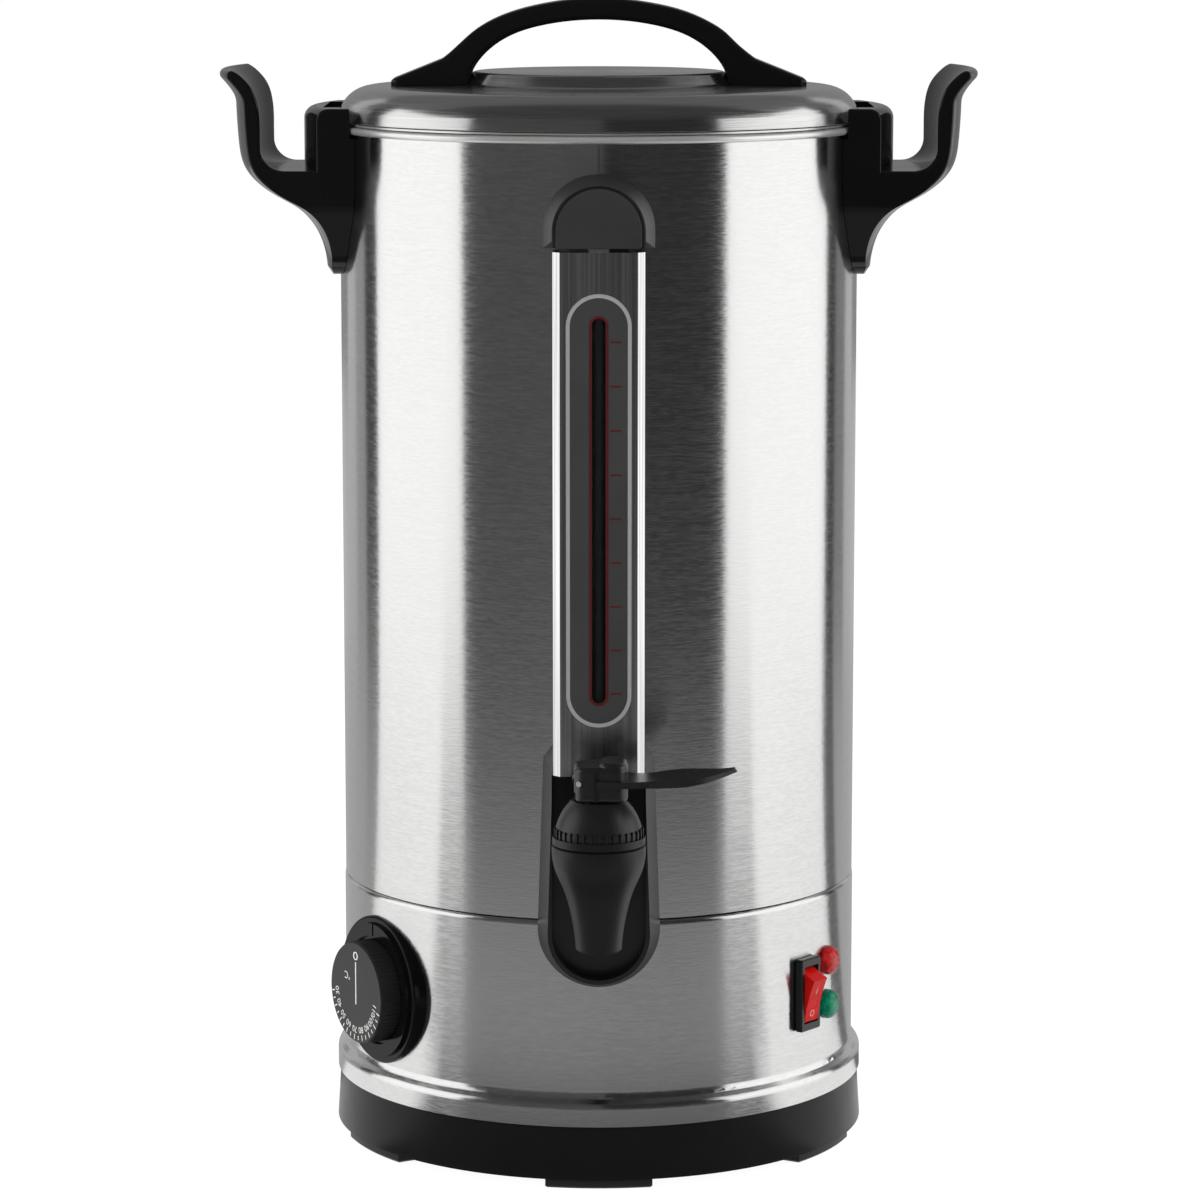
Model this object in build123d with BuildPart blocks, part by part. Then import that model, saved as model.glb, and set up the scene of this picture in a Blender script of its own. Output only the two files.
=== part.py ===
from build123d import *
import os
from math import atan, cos, degrees, hypot, pi, radians, sin

# A hot water urn. Millimetres, +Z up, front towards -Y, origin on the ground at the centre of the base.

# ---------------------------------------------------------------- driving dimensions
# Drum and pot
drum_radius = 111.0          # outside of the upper shell
sheet = 0.8                  # stainless sheet of shells, pot and lid
air_gap = 4.5                # between the pot and the upper shell
seam_height = 114.6          # where the upper shell meets the lower one
drum_top = 435.7             # top edge of the upper shell
pot_floor = 119.0            # inside of the pot's floor
floor_round = 10.0           # radius between the pot's floor and wall
rim_roll = 1.2               # radius of the rolled rim, to the middle of the sheet

# Base
foot_height = 4.0
foot_count = 6
foot_width = 45.0
foot_length = 10.0
skirt_top = 26.2
skirt_overhang = 4.3         # from the drum to the skirt's bottom edge
skirt_draft = 1.4            # how much the skirt narrows towards its top
skirt_wall = 2.9
ledge_width = 16.0           # the skirt's inner ledge, which the base plate lies under
ledge_bottom = 9.4
ledge_thick = 2.6
upstand = 6.8                # the skirt's collar inside the lower shell's lip
plate_thick = 1.2
base_screw_inset = 13.0
base_screw_count = 3
small_screw = 1.45           # radius of the self-cutting screws
small_head = 3.0
vent_inset = 39.0            # from the drum to the bottom plate's ring of cooling slots
vent_count = 18
vent_length = 18.0
vent_width = 3.4

# Lower shell
lower_step = 0.3             # the lower shell is this much larger than the drum
lip_overhang = 4.0           # from the drum to the outside of the bottom lip
lip_bottom = 26.8
lip_top = 35.4
flare_top = 39.0
seam_gap = 0.3
top_roll = 2.1

# Heater and ties
heater_inset = 31.0          # from the drum to the heater plate's edge
heater_thick = 4.0
element_inset = 14.0         # from the plate's edge to the element
element_tube = 4.0
element_start = 110.0        # direction of the element's first cold tail
element_sweep = 320.0
tail_radius = 2.6
terminal_length = 14.0
cutout_front = 18.0          # from the axis to the thermal cut-out
cutout_flange = 10.0
cutout_can = 8.0
cutout_depth = 12.0
tab_thick = 0.8              # push-on tabs of the cut-out and the switch
tab_width = 6.3
tab_length = 7.5
bulb_radius = 3.0
bulb_start = 14.0
bulb_length = 34.0
capillary_radius = 0.9
capillary_bend = 4.0
block_width = 34.0           # terminal block
block_depth = 18.0
block_height = 16.0
block_inset = 49.0           # from the drum to the terminal block's middle
block_pitch = 10.0
block_hole = 2.8
tie_inset = 61.0
tie_count = 3
tie_rod = 3.0
nut_height = 2.6
nut_corner = 5.5

# Dial
dial_azimuth = -57.5
dial_height = 72.5
bezel_radius = 31.8
bezel_face = 1.6             # how far the bezel's outer rim stands off the shell at 12 o'clock
ring_radius = 28.9
ring_step = 1.6
well_radius = 23.4
knob_radius = 22.0
knob_height = 9.6
knob_draft = 0.4
knob_ribs = 72
rib_depth = 0.45
knob_gap = 0.5
knob_edge = 0.8              # height of the knob's sloped front edge
knob_wall = 2.5
spindle = 3.0
bush_wall = 2.0
bush_nut = 4.0               # how far the bush's hexagon stands out from it
spindle_depth = 7.5          # how deep the spindle reaches into the thermostat
spindle_flat = 5.0
notch_width = 1.2            # index mark at 12 o'clock
notch_depth = 0.9
running = 0.05               # radial clearance of a running fit
thermostat_width = 40.0
thermostat_height = 42.0
thermostat_depth = 20.0
thermostat_inset = 13.0      # from the shell to the thermostat's front

# Switch and lamps
switch_azimuth = 52.0
switch_height = 73.0
switch_width = 14.0
switch_length = 31.5
switch_proud = 3.5
switch_body_width = 12.8
switch_body_length = 27.0
switch_body_depth = 22.0
switch_tab_pitch = 9.0
switch_well_width = 10.0
switch_well_length = 24.8
rocker_half = 9.6            # half length of the rocker's face
rocker_rise = 9.0            # from the pivot to the ends of the face
rocker_dip = 0.7
rocker_tilt = 15.0
rocker_play = 0.3
rocker_shaft = 1.2
pivot_depth = 2.7            # from the drum's surface in to the rocker's pivot
lamp_azimuth = 61.4
lamp_radius = 6.25
lamp_proud = 4.6
lamp_stem = 4.5
lamp_length = 14.0
red_height = 83.7
green_height = 64.5

# Sight gauge
gauge_stand = 14.0           # from the drum to the gauge's front face
gauge_width = 37.5
gauge_sheet = 1.0
gauge_bevel = 2.9
gauge_lift = 28.5            # from the tap's shank to the gauge's bottom
label_width = 27.0
label_margin_low = 20.4      # from the gauge's bottom to the label's lower end
label_margin_high = 16.6
label_thick = 1.2
slot_width = 5.5
slot_margin = 10.0           # from the label's end to the slot's end
tube_radius = 3.2
tube_wall = 0.8
tube_stand = 7.4             # from the drum to the tube's axis
tube_lift = 13.5             # from the tap's shank to the tube's lower end
elbow_drop_from_rim = 33.7
elbow_radius = 4.4
elbow_spigot = 4.2
elbow_bore = 2.2
elbow_drop = 10.0            # how far the elbow reaches down over the tube
seal_height = 2.0
elbow_nut = 7.5
cap_radius = 23.1
cap_draft = 4.1
cap_leg = 7.9                # from the cap's centre down to the ends of its legs
cap_inner = 18.45
plug_radius = 17.4
plug_thick = 1.8
plug_gap = 1.1

# Tap surround
tray_half = 25.6             # half width at the round bottom, at the drum
tray_half_top = 23.3
tray_drop = 38.9             # from the tap's shank to the centre of the tray's round end
tray_rise = 39.3
tray_chamfer = 3.7
tray_stand = 10.0            # from the drum to the tray's front rim
tray_draft = 4.4
tray_inner = 19.4
tray_floor = 2.0             # from the drum to the recess's floor

# Tap
tap_reach = 41.0             # from the drum to the tap's axis
shank_height = 149.5
shank_radius = 9.0
shank_bore = 5.6
flange_radius = 14.5
flange_thick = 2.4
gasket_thick = 0.9
nozzle_drop = 38.1           # from the shank to the mouth
nozzle_tip = 9.4
nozzle_bore = 7.2
nozzle_joint = 6.0           # from the seat down to where the nozzle is joined on
bell_radius = 19.1
bell_rise = 4.3              # from the shank to the bell's widest place
collar_height = 5.4
collar_radius = 18.9
chamber_depth = 17.2
chamber_radius = 14.6
seat_bore = 5.0
seat_lip = 0.8
bonnet_radius = 18.4
bonnet_height = 14.8
bonnet_shoulder = 11.0
bonnet_wall = 2.2
bonnet_ribs = 36
rib_height = 3.6
neck_radius = 5.0
neck_height = 4.0
pin_rise = 8.2               # from the bonnet's top to the lever's pin
pin_offset = 8.1             # from the tap's axis to the lever's pin
pin_radius = 1.0
stem_radius = 3.0
stem_foot = 3.4
disc_radius = 6.6
disc_lift = 4.6             # from the seat to the stem's spring plate
disc_thick = 1.4
seal_radius = 9.0
spring_radius = 4.8
spring_wire = 0.6
spring_turns = 4.0
bar_half = 6.8
hub_radius = 7.0
hub_height = 3.2
post_half = 4.0
post_round = 1.9
play = 0.3                   # clearance between moving pieces that don't touch
head_left = 10.0
head_right = 11.8
head_half = 10.5
head_gap = 0.5
head_height = 15.8
head_round = 3.0
head_step = 1.6              # how much lower the head is over the pin
groove_width = 1.9           # upright groove between the head's two parts
groove_depth = 1.4
root_stand = 0.9             # how far the blade's root stands out from the head
blade_reach = 56.0
blade_half = 12.0
blade_thick = 2.6
nut_radius = 14.0

# Side handles
handle_half = 43.0           # half the width of the moulding
handle_arc = 64.0            # how far the moulding is turned before its ends are cut flat
handle_stand = 15.0          # from the drum to the bracket's outer face
handle_rise = 11.0           # from the drum's top edge to the bracket's top
handle_drop = 60.2           # from the drum's top edge down to the tongue's end
bracket_round = 5.0
handle_round = 1.2           # radius along the edges of the moulding's flat ends
grip_stand = 43.0            # from the drum to the grip's outside
grip_wall = 5.8
grip_rise = 26.6             # from the drum's top edge to the grip's lip
lip_stand = 50.1             # from the drum to the outside of the lip
lip_fall = 3.4
hollow_drop = 15.0           # from the drum's top edge to the floor of the hollow
hollow_round = 9.5           # radius between the hollow's floor and the grip
elbow_stand = 27.0           # where the underside turns from the tongue into the grip
elbow_fall = 27.0
tongue_thick = 5.6
tongue_half = 27.0
tongue_rise = 40.0           # where the tongue begins to narrow
tongue_round = 16.0
pocket_depth = 21.0
pocket_half = 27.0
pocket_reach = 5.6
rim_relief = 0.7             # clearance of the bracket from the rim and the lid
handle_screw_drop = 37.7     # from the drum's top edge to the lower screws
handle_screw_pitch = 17.0
handle_screw = 2.0

# Lid
lid_overhang = 1.3           # from the drum to the lid's bead
lid_gap = 1.3                # the dark line between the pot's rim and the lid's bead
lid_shoulder = 14.0
plateau_inset = 57.4          # from the drum to the lid's raised plateau
plateau_foot = 3.6           # how far the plateau's wall spreads
plateau_rise = 5.4
crown_rise = 19.9            # from the drum's top edge to the lid just outside the plateau
shoulder_rise = 19.0
shoulder_inset = 5.0
ring_gap = 0.9               # between the pot and the lid's locating ring
ring_depth = 8.0
lid_foot_inset = 22.3         # from the drum to the end of the lid handle's foot
lid_foot_length = 21.7
arch_rise = 27.4             # from the lid's crown to the arch's underside
arch_thick = 9.2
arch_foot_rise = 7.9
lid_handle_half = 12.0
lid_handle_round = 2.0
foot_thick = 3.4
lid_screw_inset = 14.7        # from the foot's end to its screw
lid_screw = 2.0
lid_screw_bite = 2.8         # how deep the lid screws reach into the handle

# Cable gland
gland_height = 56.0
gland_bore = 3.8
gland_radius = 8.0
gland_flange = 11.0
gland_inside = 9.0
gland_outside = 15.0

# Cutting solids
cut_start = 5.0              # how far outside a shell a cut begins
cut_length = 20.0

# ---------------------------------------------------------------- derived places
elbow_height = drum_top - elbow_drop_from_rim
cap_centre = elbow_height - 0.7
cap_bottom = cap_centre - cap_leg
plug_bottom = cap_bottom + plug_gap
gauge_top = cap_bottom - 0.4
gauge_bottom = shank_height + gauge_lift
label_length = gauge_top - gauge_bottom - label_margin_low - label_margin_high
label_centre = gauge_bottom + label_margin_low + label_length / 2
slot_length = label_length - 2 * slot_margin
tube_bottom = shank_height + tube_lift
tray_centre = shank_height - tray_drop
tray_top = shank_height + tray_rise
nozzle_bottom = shank_height - nozzle_drop
bell_height = shank_height + bell_rise
bell_top = bell_height + collar_height
seat_height = bell_top - chamber_depth
bonnet_top = bell_top + bonnet_height
pin_height = bonnet_top + pin_rise
head_bottom = bonnet_top + head_gap
head_top = head_bottom + head_height
handle_top = drum_top + handle_rise
handle_bottom = drum_top - handle_drop
grip_top = drum_top + grip_rise
hollow_floor = drum_top - hollow_drop
handle_screw_low = drum_top - handle_screw_drop
handle_screw_high = handle_screw_low + handle_screw_pitch
lid_crown = drum_top + crown_rise
plateau_top = lid_crown + plateau_rise
lid_shoulder_height = drum_top + shoulder_rise
arch_inner = lid_crown + arch_rise
skirt_bottom_radius = drum_radius + skirt_overhang
lip_radius = drum_radius + lip_overhang
lid_edge = drum_radius + lid_overhang
plateau_radius = drum_radius - plateau_inset
foot_end = drum_radius - lid_foot_inset
arch_foot = foot_end - lid_foot_length      # where the arch springs from its long foot
arch_half = plateau_radius + 0.4
lid_screw_offset = foot_end - lid_screw_inset
heater_radius = drum_radius - heater_inset
element_radius = heater_radius - element_inset
base_screw_radius = drum_radius - base_screw_inset
vent_circle = drum_radius - vent_inset
tie_radius = drum_radius - tie_inset
block_back = drum_radius - block_inset
pot_outer = drum_radius - sheet - air_gap
pot_inner = pot_outer - sheet
lower_radius = drum_radius + lower_step
floor_under = pot_floor - sheet
heater_under = floor_under - heater_thick
rim_height = drum_top + sheet / 2 + rim_roll * 2          # middle of the sheet on top of the rim
rim_top = rim_height + sheet / 2
gauge_front = drum_radius + gauge_stand
tube_distance = drum_radius + tube_stand
tap_distance = drum_radius + tap_reach
tray_front = drum_radius + tray_stand
tray_face = drum_radius + tray_floor
cap_back = drum_radius - 3.0
ledge_inner = skirt_bottom_radius - skirt_wall - ledge_width
plate_radius = skirt_bottom_radius - skirt_wall - foot_length
dial_face = lower_radius + bezel_face
ring_face = dial_face + ring_step
knob_back = dial_face + knob_gap
knob_front = knob_back + knob_height

os.makedirs("parts", exist_ok=True)


def side_plane(azimuth, distance, height):
    """A plane that faces out of the drum: local X runs round it to the right, local Y runs up."""
    turn = radians(azimuth)
    outward = (sin(turn), -cos(turn), 0)
    origin = (distance * outward[0], distance * outward[1], height)
    return Plane(origin=origin, x_dir=(cos(turn), sin(turn), 0), z_dir=outward)


def front_plane(distance):
    """The same plane at the front, with local Y as the height above the ground."""
    return side_plane(0, distance, 0)


def radial_plane(angle):
    """An upright plane through the axis: local X runs outwards at this angle from +X, local Y up."""
    turn = radians(angle)
    return Plane(origin=(0, 0, 0), x_dir=(cos(turn), sin(turn), 0), z_dir=(sin(turn), -cos(turn), 0))


def finish(builder, name):
    """Labels a finished piece and writes its STEP file."""
    builder.part.label = name
    export_step(builder.part, f"parts/{name}.step")


# ================================================================ base
# Moulded base ring: a drafted skirt, an inner ledge for the plate, a collar inside the lower
# shell's lip, and six feet.
skirt_inner = skirt_bottom_radius - skirt_wall
collar_outer = lip_radius - sheet - 0.4
with BuildPart() as base_skirt:
    with BuildSketch(Plane.XZ):
        with BuildLine():
            Polyline(
                (skirt_bottom_radius, foot_height),
                (skirt_bottom_radius - skirt_draft, skirt_top),
                (collar_outer, skirt_top),
                (collar_outer, skirt_top + upstand),
                (collar_outer - skirt_wall, skirt_top + upstand),
                (collar_outer - skirt_wall, ledge_bottom + ledge_thick),
                (ledge_inner, ledge_bottom + ledge_thick),
                (ledge_inner, ledge_bottom),
                (skirt_inner, ledge_bottom),
                (skirt_inner, foot_height),
                close=True,
            )
        make_face()
    revolve(axis=Axis.Z)
    with BuildSketch(Plane.XY):
        with PolarLocations(skirt_inner - foot_length / 2, foot_count, start_angle=-90):
            Rectangle(2 * foot_length, foot_width)
        Circle(skirt_bottom_radius - 1.2, mode=Mode.INTERSECT)
        Circle(skirt_inner - foot_length + 0.6, mode=Mode.SUBTRACT)
    extrude(amount=ledge_bottom)
    chamfer(base_skirt.edges().group_by(Axis.Z)[0], length=0.8)
    with PolarLocations(base_screw_radius, base_screw_count, start_angle=-60):
        with Locations((0, 0, ledge_bottom)):
            Cylinder(small_screw + 0.05, ledge_thick, align=(Align.CENTER, Align.CENTER, Align.MIN),
                     mode=Mode.SUBTRACT)
finish(base_skirt, "base_skirt")

# Pressed steel bottom plate with cooling slots, held up by the tie nuts and by screws at its edge.
plate_bottom = ledge_bottom - plate_thick
with BuildPart() as base_plate:
    with BuildSketch(Plane.XY.offset(plate_bottom)):
        Circle(plate_radius)
        with PolarLocations(vent_circle, vent_count, start_angle=10):
            SlotOverall(vent_length, vent_width, mode=Mode.SUBTRACT)
        with PolarLocations(base_screw_radius, base_screw_count, start_angle=-60):
            Circle(small_screw + 0.15, mode=Mode.SUBTRACT)
        with PolarLocations(tie_radius, tie_count, start_angle=30):
            Circle(tie_rod + 0.2, mode=Mode.SUBTRACT)
    extrude(amount=plate_thick)
finish(base_plate, "base_plate")

with BuildPart() as base_screws:
    with PolarLocations(base_screw_radius, base_screw_count, start_angle=-60):
        with Locations((0, 0, plate_bottom)):
            Cylinder(small_head, 1.8, align=(Align.CENTER, Align.CENTER, Align.MAX))
            Cylinder(small_screw, plate_thick + ledge_thick, align=(Align.CENTER, Align.CENTER, Align.MIN))
finish(base_screws, "base_screws")

# Three threaded studs hang from the heater plate and clamp the plate, the skirt and the lower
# shell up against the pot.
stud_bottom = plate_bottom - nut_height - 1.0
with BuildPart() as tie_studs:
    with PolarLocations(tie_radius, tie_count, start_angle=30):
        with Locations((0, 0, stud_bottom)):
            Cylinder(tie_rod, heater_under - stud_bottom, align=(Align.CENTER, Align.CENTER, Align.MIN))
finish(tie_studs, "tie_studs")

with BuildPart() as tie_nuts:
    with BuildSketch(Plane.XY.offset(plate_bottom - nut_height)):
        with PolarLocations(tie_radius, tie_count, start_angle=30):
            RegularPolygon(nut_corner, 6)
            Circle(tie_rod, mode=Mode.SUBTRACT)
    extrude(amount=nut_height)
finish(tie_nuts, "tie_nuts")

# ================================================================ shells
# Lower shell: a rolled-in top edge at the seam, a straight wall, and a flare into the bottom lip.
wall_line = lower_radius - sheet / 2
with BuildPart() as lower_shell:
    with BuildSketch(Plane.XZ):
        with BuildLine():
            FilletPolyline(
                (wall_line - 1.5 * top_roll, seam_height - seam_gap - sheet / 2),
                (wall_line, seam_height - seam_gap - sheet / 2),
                (wall_line, flare_top),
                (lip_radius - sheet / 2, lip_top),
                (lip_radius - sheet / 2, lip_bottom),
                radius=[top_roll, 4.0, 3.0],
            )
        trace(line_width=sheet)
    revolve(axis=Axis.Z)
    with BuildSketch(side_plane(dial_azimuth, lower_radius + cut_start, dial_height)):
        Circle(spindle + bush_wall + 0.3)
    extrude(amount=-cut_length, mode=Mode.SUBTRACT)
    with BuildSketch(side_plane(switch_azimuth, lower_radius + cut_start, switch_height)):
        Rectangle(switch_body_width + 0.4, switch_body_length + 0.4)
    extrude(amount=-cut_length, mode=Mode.SUBTRACT)
    for lamp_height in (red_height, green_height):
        with BuildSketch(side_plane(lamp_azimuth, lower_radius + cut_start, lamp_height)):
            Circle(lamp_stem + 0.2)
        extrude(amount=-cut_length, mode=Mode.SUBTRACT)
    with BuildSketch(side_plane(180, lower_radius + cut_start, gland_height)):
        Circle(gland_radius + 0.2)
    extrude(amount=-cut_length, mode=Mode.SUBTRACT)
finish(lower_shell, "lower_shell")

# Upper shell: a welded tube with holes for the tap, the gauge's elbow and the handle screws.
with BuildPart() as upper_shell:
    with BuildSketch(Plane.XY.offset(seam_height)):
        Circle(drum_radius)
        Circle(drum_radius - sheet, mode=Mode.SUBTRACT)
    extrude(amount=drum_top - seam_height)
    with BuildSketch(front_plane(drum_radius + cut_start)):
        with Locations((0, shank_height)):
            Circle(shank_radius + 0.3)
        with Locations((0, elbow_height)):
            Circle(elbow_spigot + 0.3)
    extrude(amount=-cut_length, mode=Mode.SUBTRACT)
    for side in (-90, 90):
        with BuildSketch(side_plane(side, drum_radius + cut_start, 0)):
            with Locations((0, handle_screw_low), (0, handle_screw_high)):
                Circle(handle_screw + 0.2)
        extrude(amount=-cut_length, mode=Mode.SUBTRACT)
finish(upper_shell, "upper_shell")

# Inner pot: drawn from one sheet, with a round floor corner and a rim rolled over the shell's edge.
pot_line = pot_inner + sheet / 2
roll_centre = lid_edge - sheet / 2 - rim_roll
with BuildPart() as inner_pot:
    with BuildSketch(Plane.XZ):
        with BuildLine():
            wall = FilletPolyline(
                (0, pot_floor - sheet / 2),
                (pot_line, pot_floor - sheet / 2),
                (pot_line, rim_height),
                (roll_centre, rim_height),
                radius=[floor_round, 2.0],
            )
            ThreePointArc(
                wall @ 1,
                (roll_centre + rim_roll, rim_height - rim_roll),
                (roll_centre, rim_height - 2 * rim_roll),
            )
        trace(line_width=sheet)
    revolve(axis=Axis.Z)
    with BuildSketch(front_plane(drum_radius)):
        with Locations((0, shank_height)):
            Circle(shank_radius + 0.2)
        with Locations((0, elbow_height)):
            Circle(elbow_spigot + 0.2)
    extrude(amount=-cut_length, mode=Mode.SUBTRACT)
finish(inner_pot, "inner_pot")

# ================================================================ heater
with BuildPart() as heater_plate:
    with BuildSketch(Plane.XY.offset(heater_under)):
        Circle(heater_radius)
    extrude(amount=heater_thick)
    fillet(heater_plate.edges().group_by(Axis.Z)[0], radius=1.5)
finish(heater_plate, "heater_plate")

# Sheathed element: an open ring brazed under the plate, with a cold tail at each end.
element_height = heater_under - element_tube
with BuildPart() as heating_element:
    with BuildSketch(radial_plane(element_start)):
        with Locations((element_radius, element_height)):
            Circle(element_tube)
    revolve(axis=Axis.Z, revolution_arc=element_sweep)
    for tail in (element_start, element_start + element_sweep):
        with Locations((
            element_radius * cos(radians(tail)),
            element_radius * sin(radians(tail)),
            element_height,
        )):
            Cylinder(tail_radius, terminal_length, align=(Align.CENTER, Align.CENTER, Align.MAX))
finish(heating_element, "heating_element")

# Thermal cut-out: a flanged can under the plate, with two push-on tabs.
with BuildPart() as safety_cutout:
    with Locations((0, -cutout_front, heater_under)):
        Cylinder(cutout_flange, cutout_depth / 2, align=(Align.CENTER, Align.CENTER, Align.MAX))
        Cylinder(cutout_can, cutout_depth, align=(Align.CENTER, Align.CENTER, Align.MAX))
    with Locations((0, -cutout_front, heater_under - cutout_depth)):
        with GridLocations(cutout_can, 0, 2, 1):
            Box(tab_thick, tab_width, tab_length, align=(Align.CENTER, Align.CENTER, Align.MAX))
finish(safety_cutout, "safety_cutout")

# ================================================================ thermostat and dial
# The body hangs on its bush, which passes through the shell into the dial's bezel.
body_front = lower_radius - thermostat_inset
body_back = body_front - thermostat_depth
bush_end = dial_face - 0.2
with BuildPart() as thermostat:
    with BuildSketch(side_plane(dial_azimuth, body_back, dial_height)):
        RectangleRounded(thermostat_width, thermostat_height, 4.0)
    extrude(amount=thermostat_depth)
    with BuildSketch(side_plane(dial_azimuth, body_front, dial_height)):
        Circle(spindle + bush_wall)
    extrude(amount=bush_end - body_front)
    with BuildSketch(side_plane(dial_azimuth, body_front, dial_height)):
        RegularPolygon(spindle + bush_wall + bush_nut, 6)
    extrude(amount=thermostat_inset - 2 * sheet)
    with BuildSketch(side_plane(dial_azimuth, bush_end, dial_height)):
        Circle(spindle + running)
    extrude(amount=-(bush_end - body_front + spindle_depth + 0.5), mode=Mode.SUBTRACT)
finish(thermostat, "thermostat")

with BuildPart() as thermostat_spindle:
    with BuildSketch(side_plane(dial_azimuth, body_front - spindle_depth, dial_height)):
        Circle(spindle)
    extrude(amount=knob_front - knob_wall - 0.9 - body_front + spindle_depth)
    with BuildSketch(side_plane(dial_azimuth, knob_back + 0.6, dial_height)):
        with Locations((0, spindle + 1.5)):
            Rectangle(4 * spindle, spindle_flat)
    extrude(amount=knob_height, mode=Mode.SUBTRACT)
finish(thermostat_spindle, "thermostat_spindle")

# Bulb clipped under the heater plate, and its capillary down and out to the thermostat.
bulb_height = heater_under - bulb_radius
body_top = dial_height + thermostat_height / 2
body_middle = body_back + thermostat_depth / 2
capillary_run = body_top + 5.5
with BuildPart() as thermostat_bulb:
    with BuildSketch(side_plane(dial_azimuth, bulb_start, bulb_height)):
        Circle(bulb_radius)
    extrude(amount=bulb_length)
    with BuildLine(radial_plane(dial_azimuth - 90)) as capillary:
        FilletPolyline(
            (bulb_start + bulb_length - 1.0, bulb_height),
            (bulb_start + bulb_length + 7.0, bulb_height),
            (bulb_start + bulb_length + 13.0, capillary_run),
            (body_middle, capillary_run),
            (body_middle, body_top),
            radius=[capillary_bend, capillary_bend, capillary_bend],
        )
    with BuildSketch(Plane(origin=capillary.line @ 0, z_dir=capillary.line % 0)):
        Circle(capillary_radius)
    sweep(path=capillary.line)
finish(thermostat_bulb, "thermostat_bulb")

# Bezel: a saddle that fits the drum, with a stepped ring, a well for the knob and an index notch.
with BuildPart() as dial_bezel:
    with BuildSketch(side_plane(dial_azimuth, lower_radius - 7.0, dial_height)):
        Circle(bezel_radius)
    extrude(amount=dial_face - lower_radius + 7.0)
    fillet(dial_bezel.faces().filter_by(GeomType.PLANE).sort_by(
        SortBy.DISTANCE)[-1].edges(), radius=1.0)
    with BuildSketch(side_plane(dial_azimuth, dial_face, dial_height)):
        Circle(ring_radius)
        Circle(well_radius, mode=Mode.SUBTRACT)
    extrude(amount=ring_step)
    with BuildSketch(side_plane(dial_azimuth, ring_face, dial_height)):
        with Locations((0, (ring_radius + well_radius) / 2)):
            Rectangle(notch_width, ring_radius - well_radius + 1.0)
    extrude(amount=-notch_depth, mode=Mode.SUBTRACT)
    with BuildSketch(side_plane(dial_azimuth, dial_face, dial_height)):
        Circle(spindle + bush_wall + 0.1)
    extrude(amount=-cut_length, mode=Mode.SUBTRACT)
    with Locations((0, 0, dial_height)):
        Cylinder(lower_radius + 0.1, 4 * bezel_radius, mode=Mode.SUBTRACT)
finish(dial_bezel, "dial_bezel")

# Knob: a hollow cap with fine ribs round its side and a hub on the spindle.
rib_points = []
for index in range(2 * knob_ribs):
    reach = knob_radius if index % 2 == 0 else knob_radius - rib_depth
    angle = pi * index / knob_ribs
    rib_points.append((reach * cos(angle), reach * sin(angle)))
with BuildPart() as dial_knob:
    with BuildSketch(side_plane(dial_azimuth, knob_back, dial_height)):
        with BuildLine():
            Polyline(*rib_points, close=True)
        make_face()
    extrude(amount=knob_height - knob_edge)
    with BuildSketch(side_plane(dial_azimuth, knob_front - knob_edge, dial_height)):
        Circle(knob_radius - knob_draft)
    extrude(amount=knob_edge, taper=20)
    with BuildSketch(side_plane(dial_azimuth, knob_back, dial_height)):
        Circle(knob_radius - knob_wall)
        Circle(spindle + knob_wall, mode=Mode.SUBTRACT)
    extrude(amount=knob_height - knob_wall, mode=Mode.SUBTRACT)
    with BuildSketch(side_plane(dial_azimuth, knob_back, dial_height)):
        Circle(spindle + running)
        with Locations((0, spindle + 1.5)):
            Rectangle(4 * spindle, spindle_flat - 2 * running, mode=Mode.SUBTRACT)
    extrude(amount=knob_height - knob_wall - 0.7, mode=Mode.SUBTRACT)
    with BuildSketch(side_plane(dial_azimuth, knob_back, dial_height)):
        Circle(spindle + running)
    extrude(amount=0.8, mode=Mode.SUBTRACT)
finish(dial_knob, "dial_knob")

# ================================================================ switch and lamps
switch_face = lower_radius + 0.1 + switch_proud
switch_seat = lower_radius + 0.1
pivot_distance = lower_radius - pivot_depth
with BuildPart() as switch_housing:
    with BuildSketch(side_plane(switch_azimuth, switch_seat, switch_height)):
        RectangleRounded(switch_width, switch_length, 1.0)
    extrude(amount=switch_proud)
    chamfer(switch_housing.faces().filter_by(GeomType.PLANE).sort_by(
        SortBy.DISTANCE)[-1].edges(), length=0.5)
    with BuildSketch(side_plane(switch_azimuth, switch_seat, switch_height)):
        Rectangle(switch_body_width, switch_body_length)
    extrude(amount=-switch_body_depth)
    with BuildSketch(side_plane(switch_azimuth, switch_face, switch_height)):
        Rectangle(switch_well_width, switch_well_length)
    extrude(amount=-(switch_face - pivot_distance + 7.0), mode=Mode.SUBTRACT)
    with BuildSketch(side_plane(switch_azimuth - 90, 0, switch_height)):
        with Locations((pivot_distance, 0)):
            Circle(rocker_shaft + running)
    extrude(amount=switch_body_width / 2 - 0.3, both=True, mode=Mode.SUBTRACT)
    with BuildSketch(side_plane(switch_azimuth, switch_seat - switch_body_depth, switch_height)):
        with GridLocations(0, switch_tab_pitch, 1, 3):
            Rectangle(tab_width, tab_thick)
    extrude(amount=-tab_length)
finish(switch_housing, "switch_housing")

# Rocker: ends stand above its middle, and its lower half is pressed in. Local X of this plane
# points out of the drum, and local Y points up.
tilt = radians(rocker_tilt)


def rocker_point(along, out):
    """A point of the rocker's own profile, tilted about its pivot."""
    return (pivot_distance + along * sin(tilt) + out * cos(tilt), along * cos(tilt) - out * sin(tilt))


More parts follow.
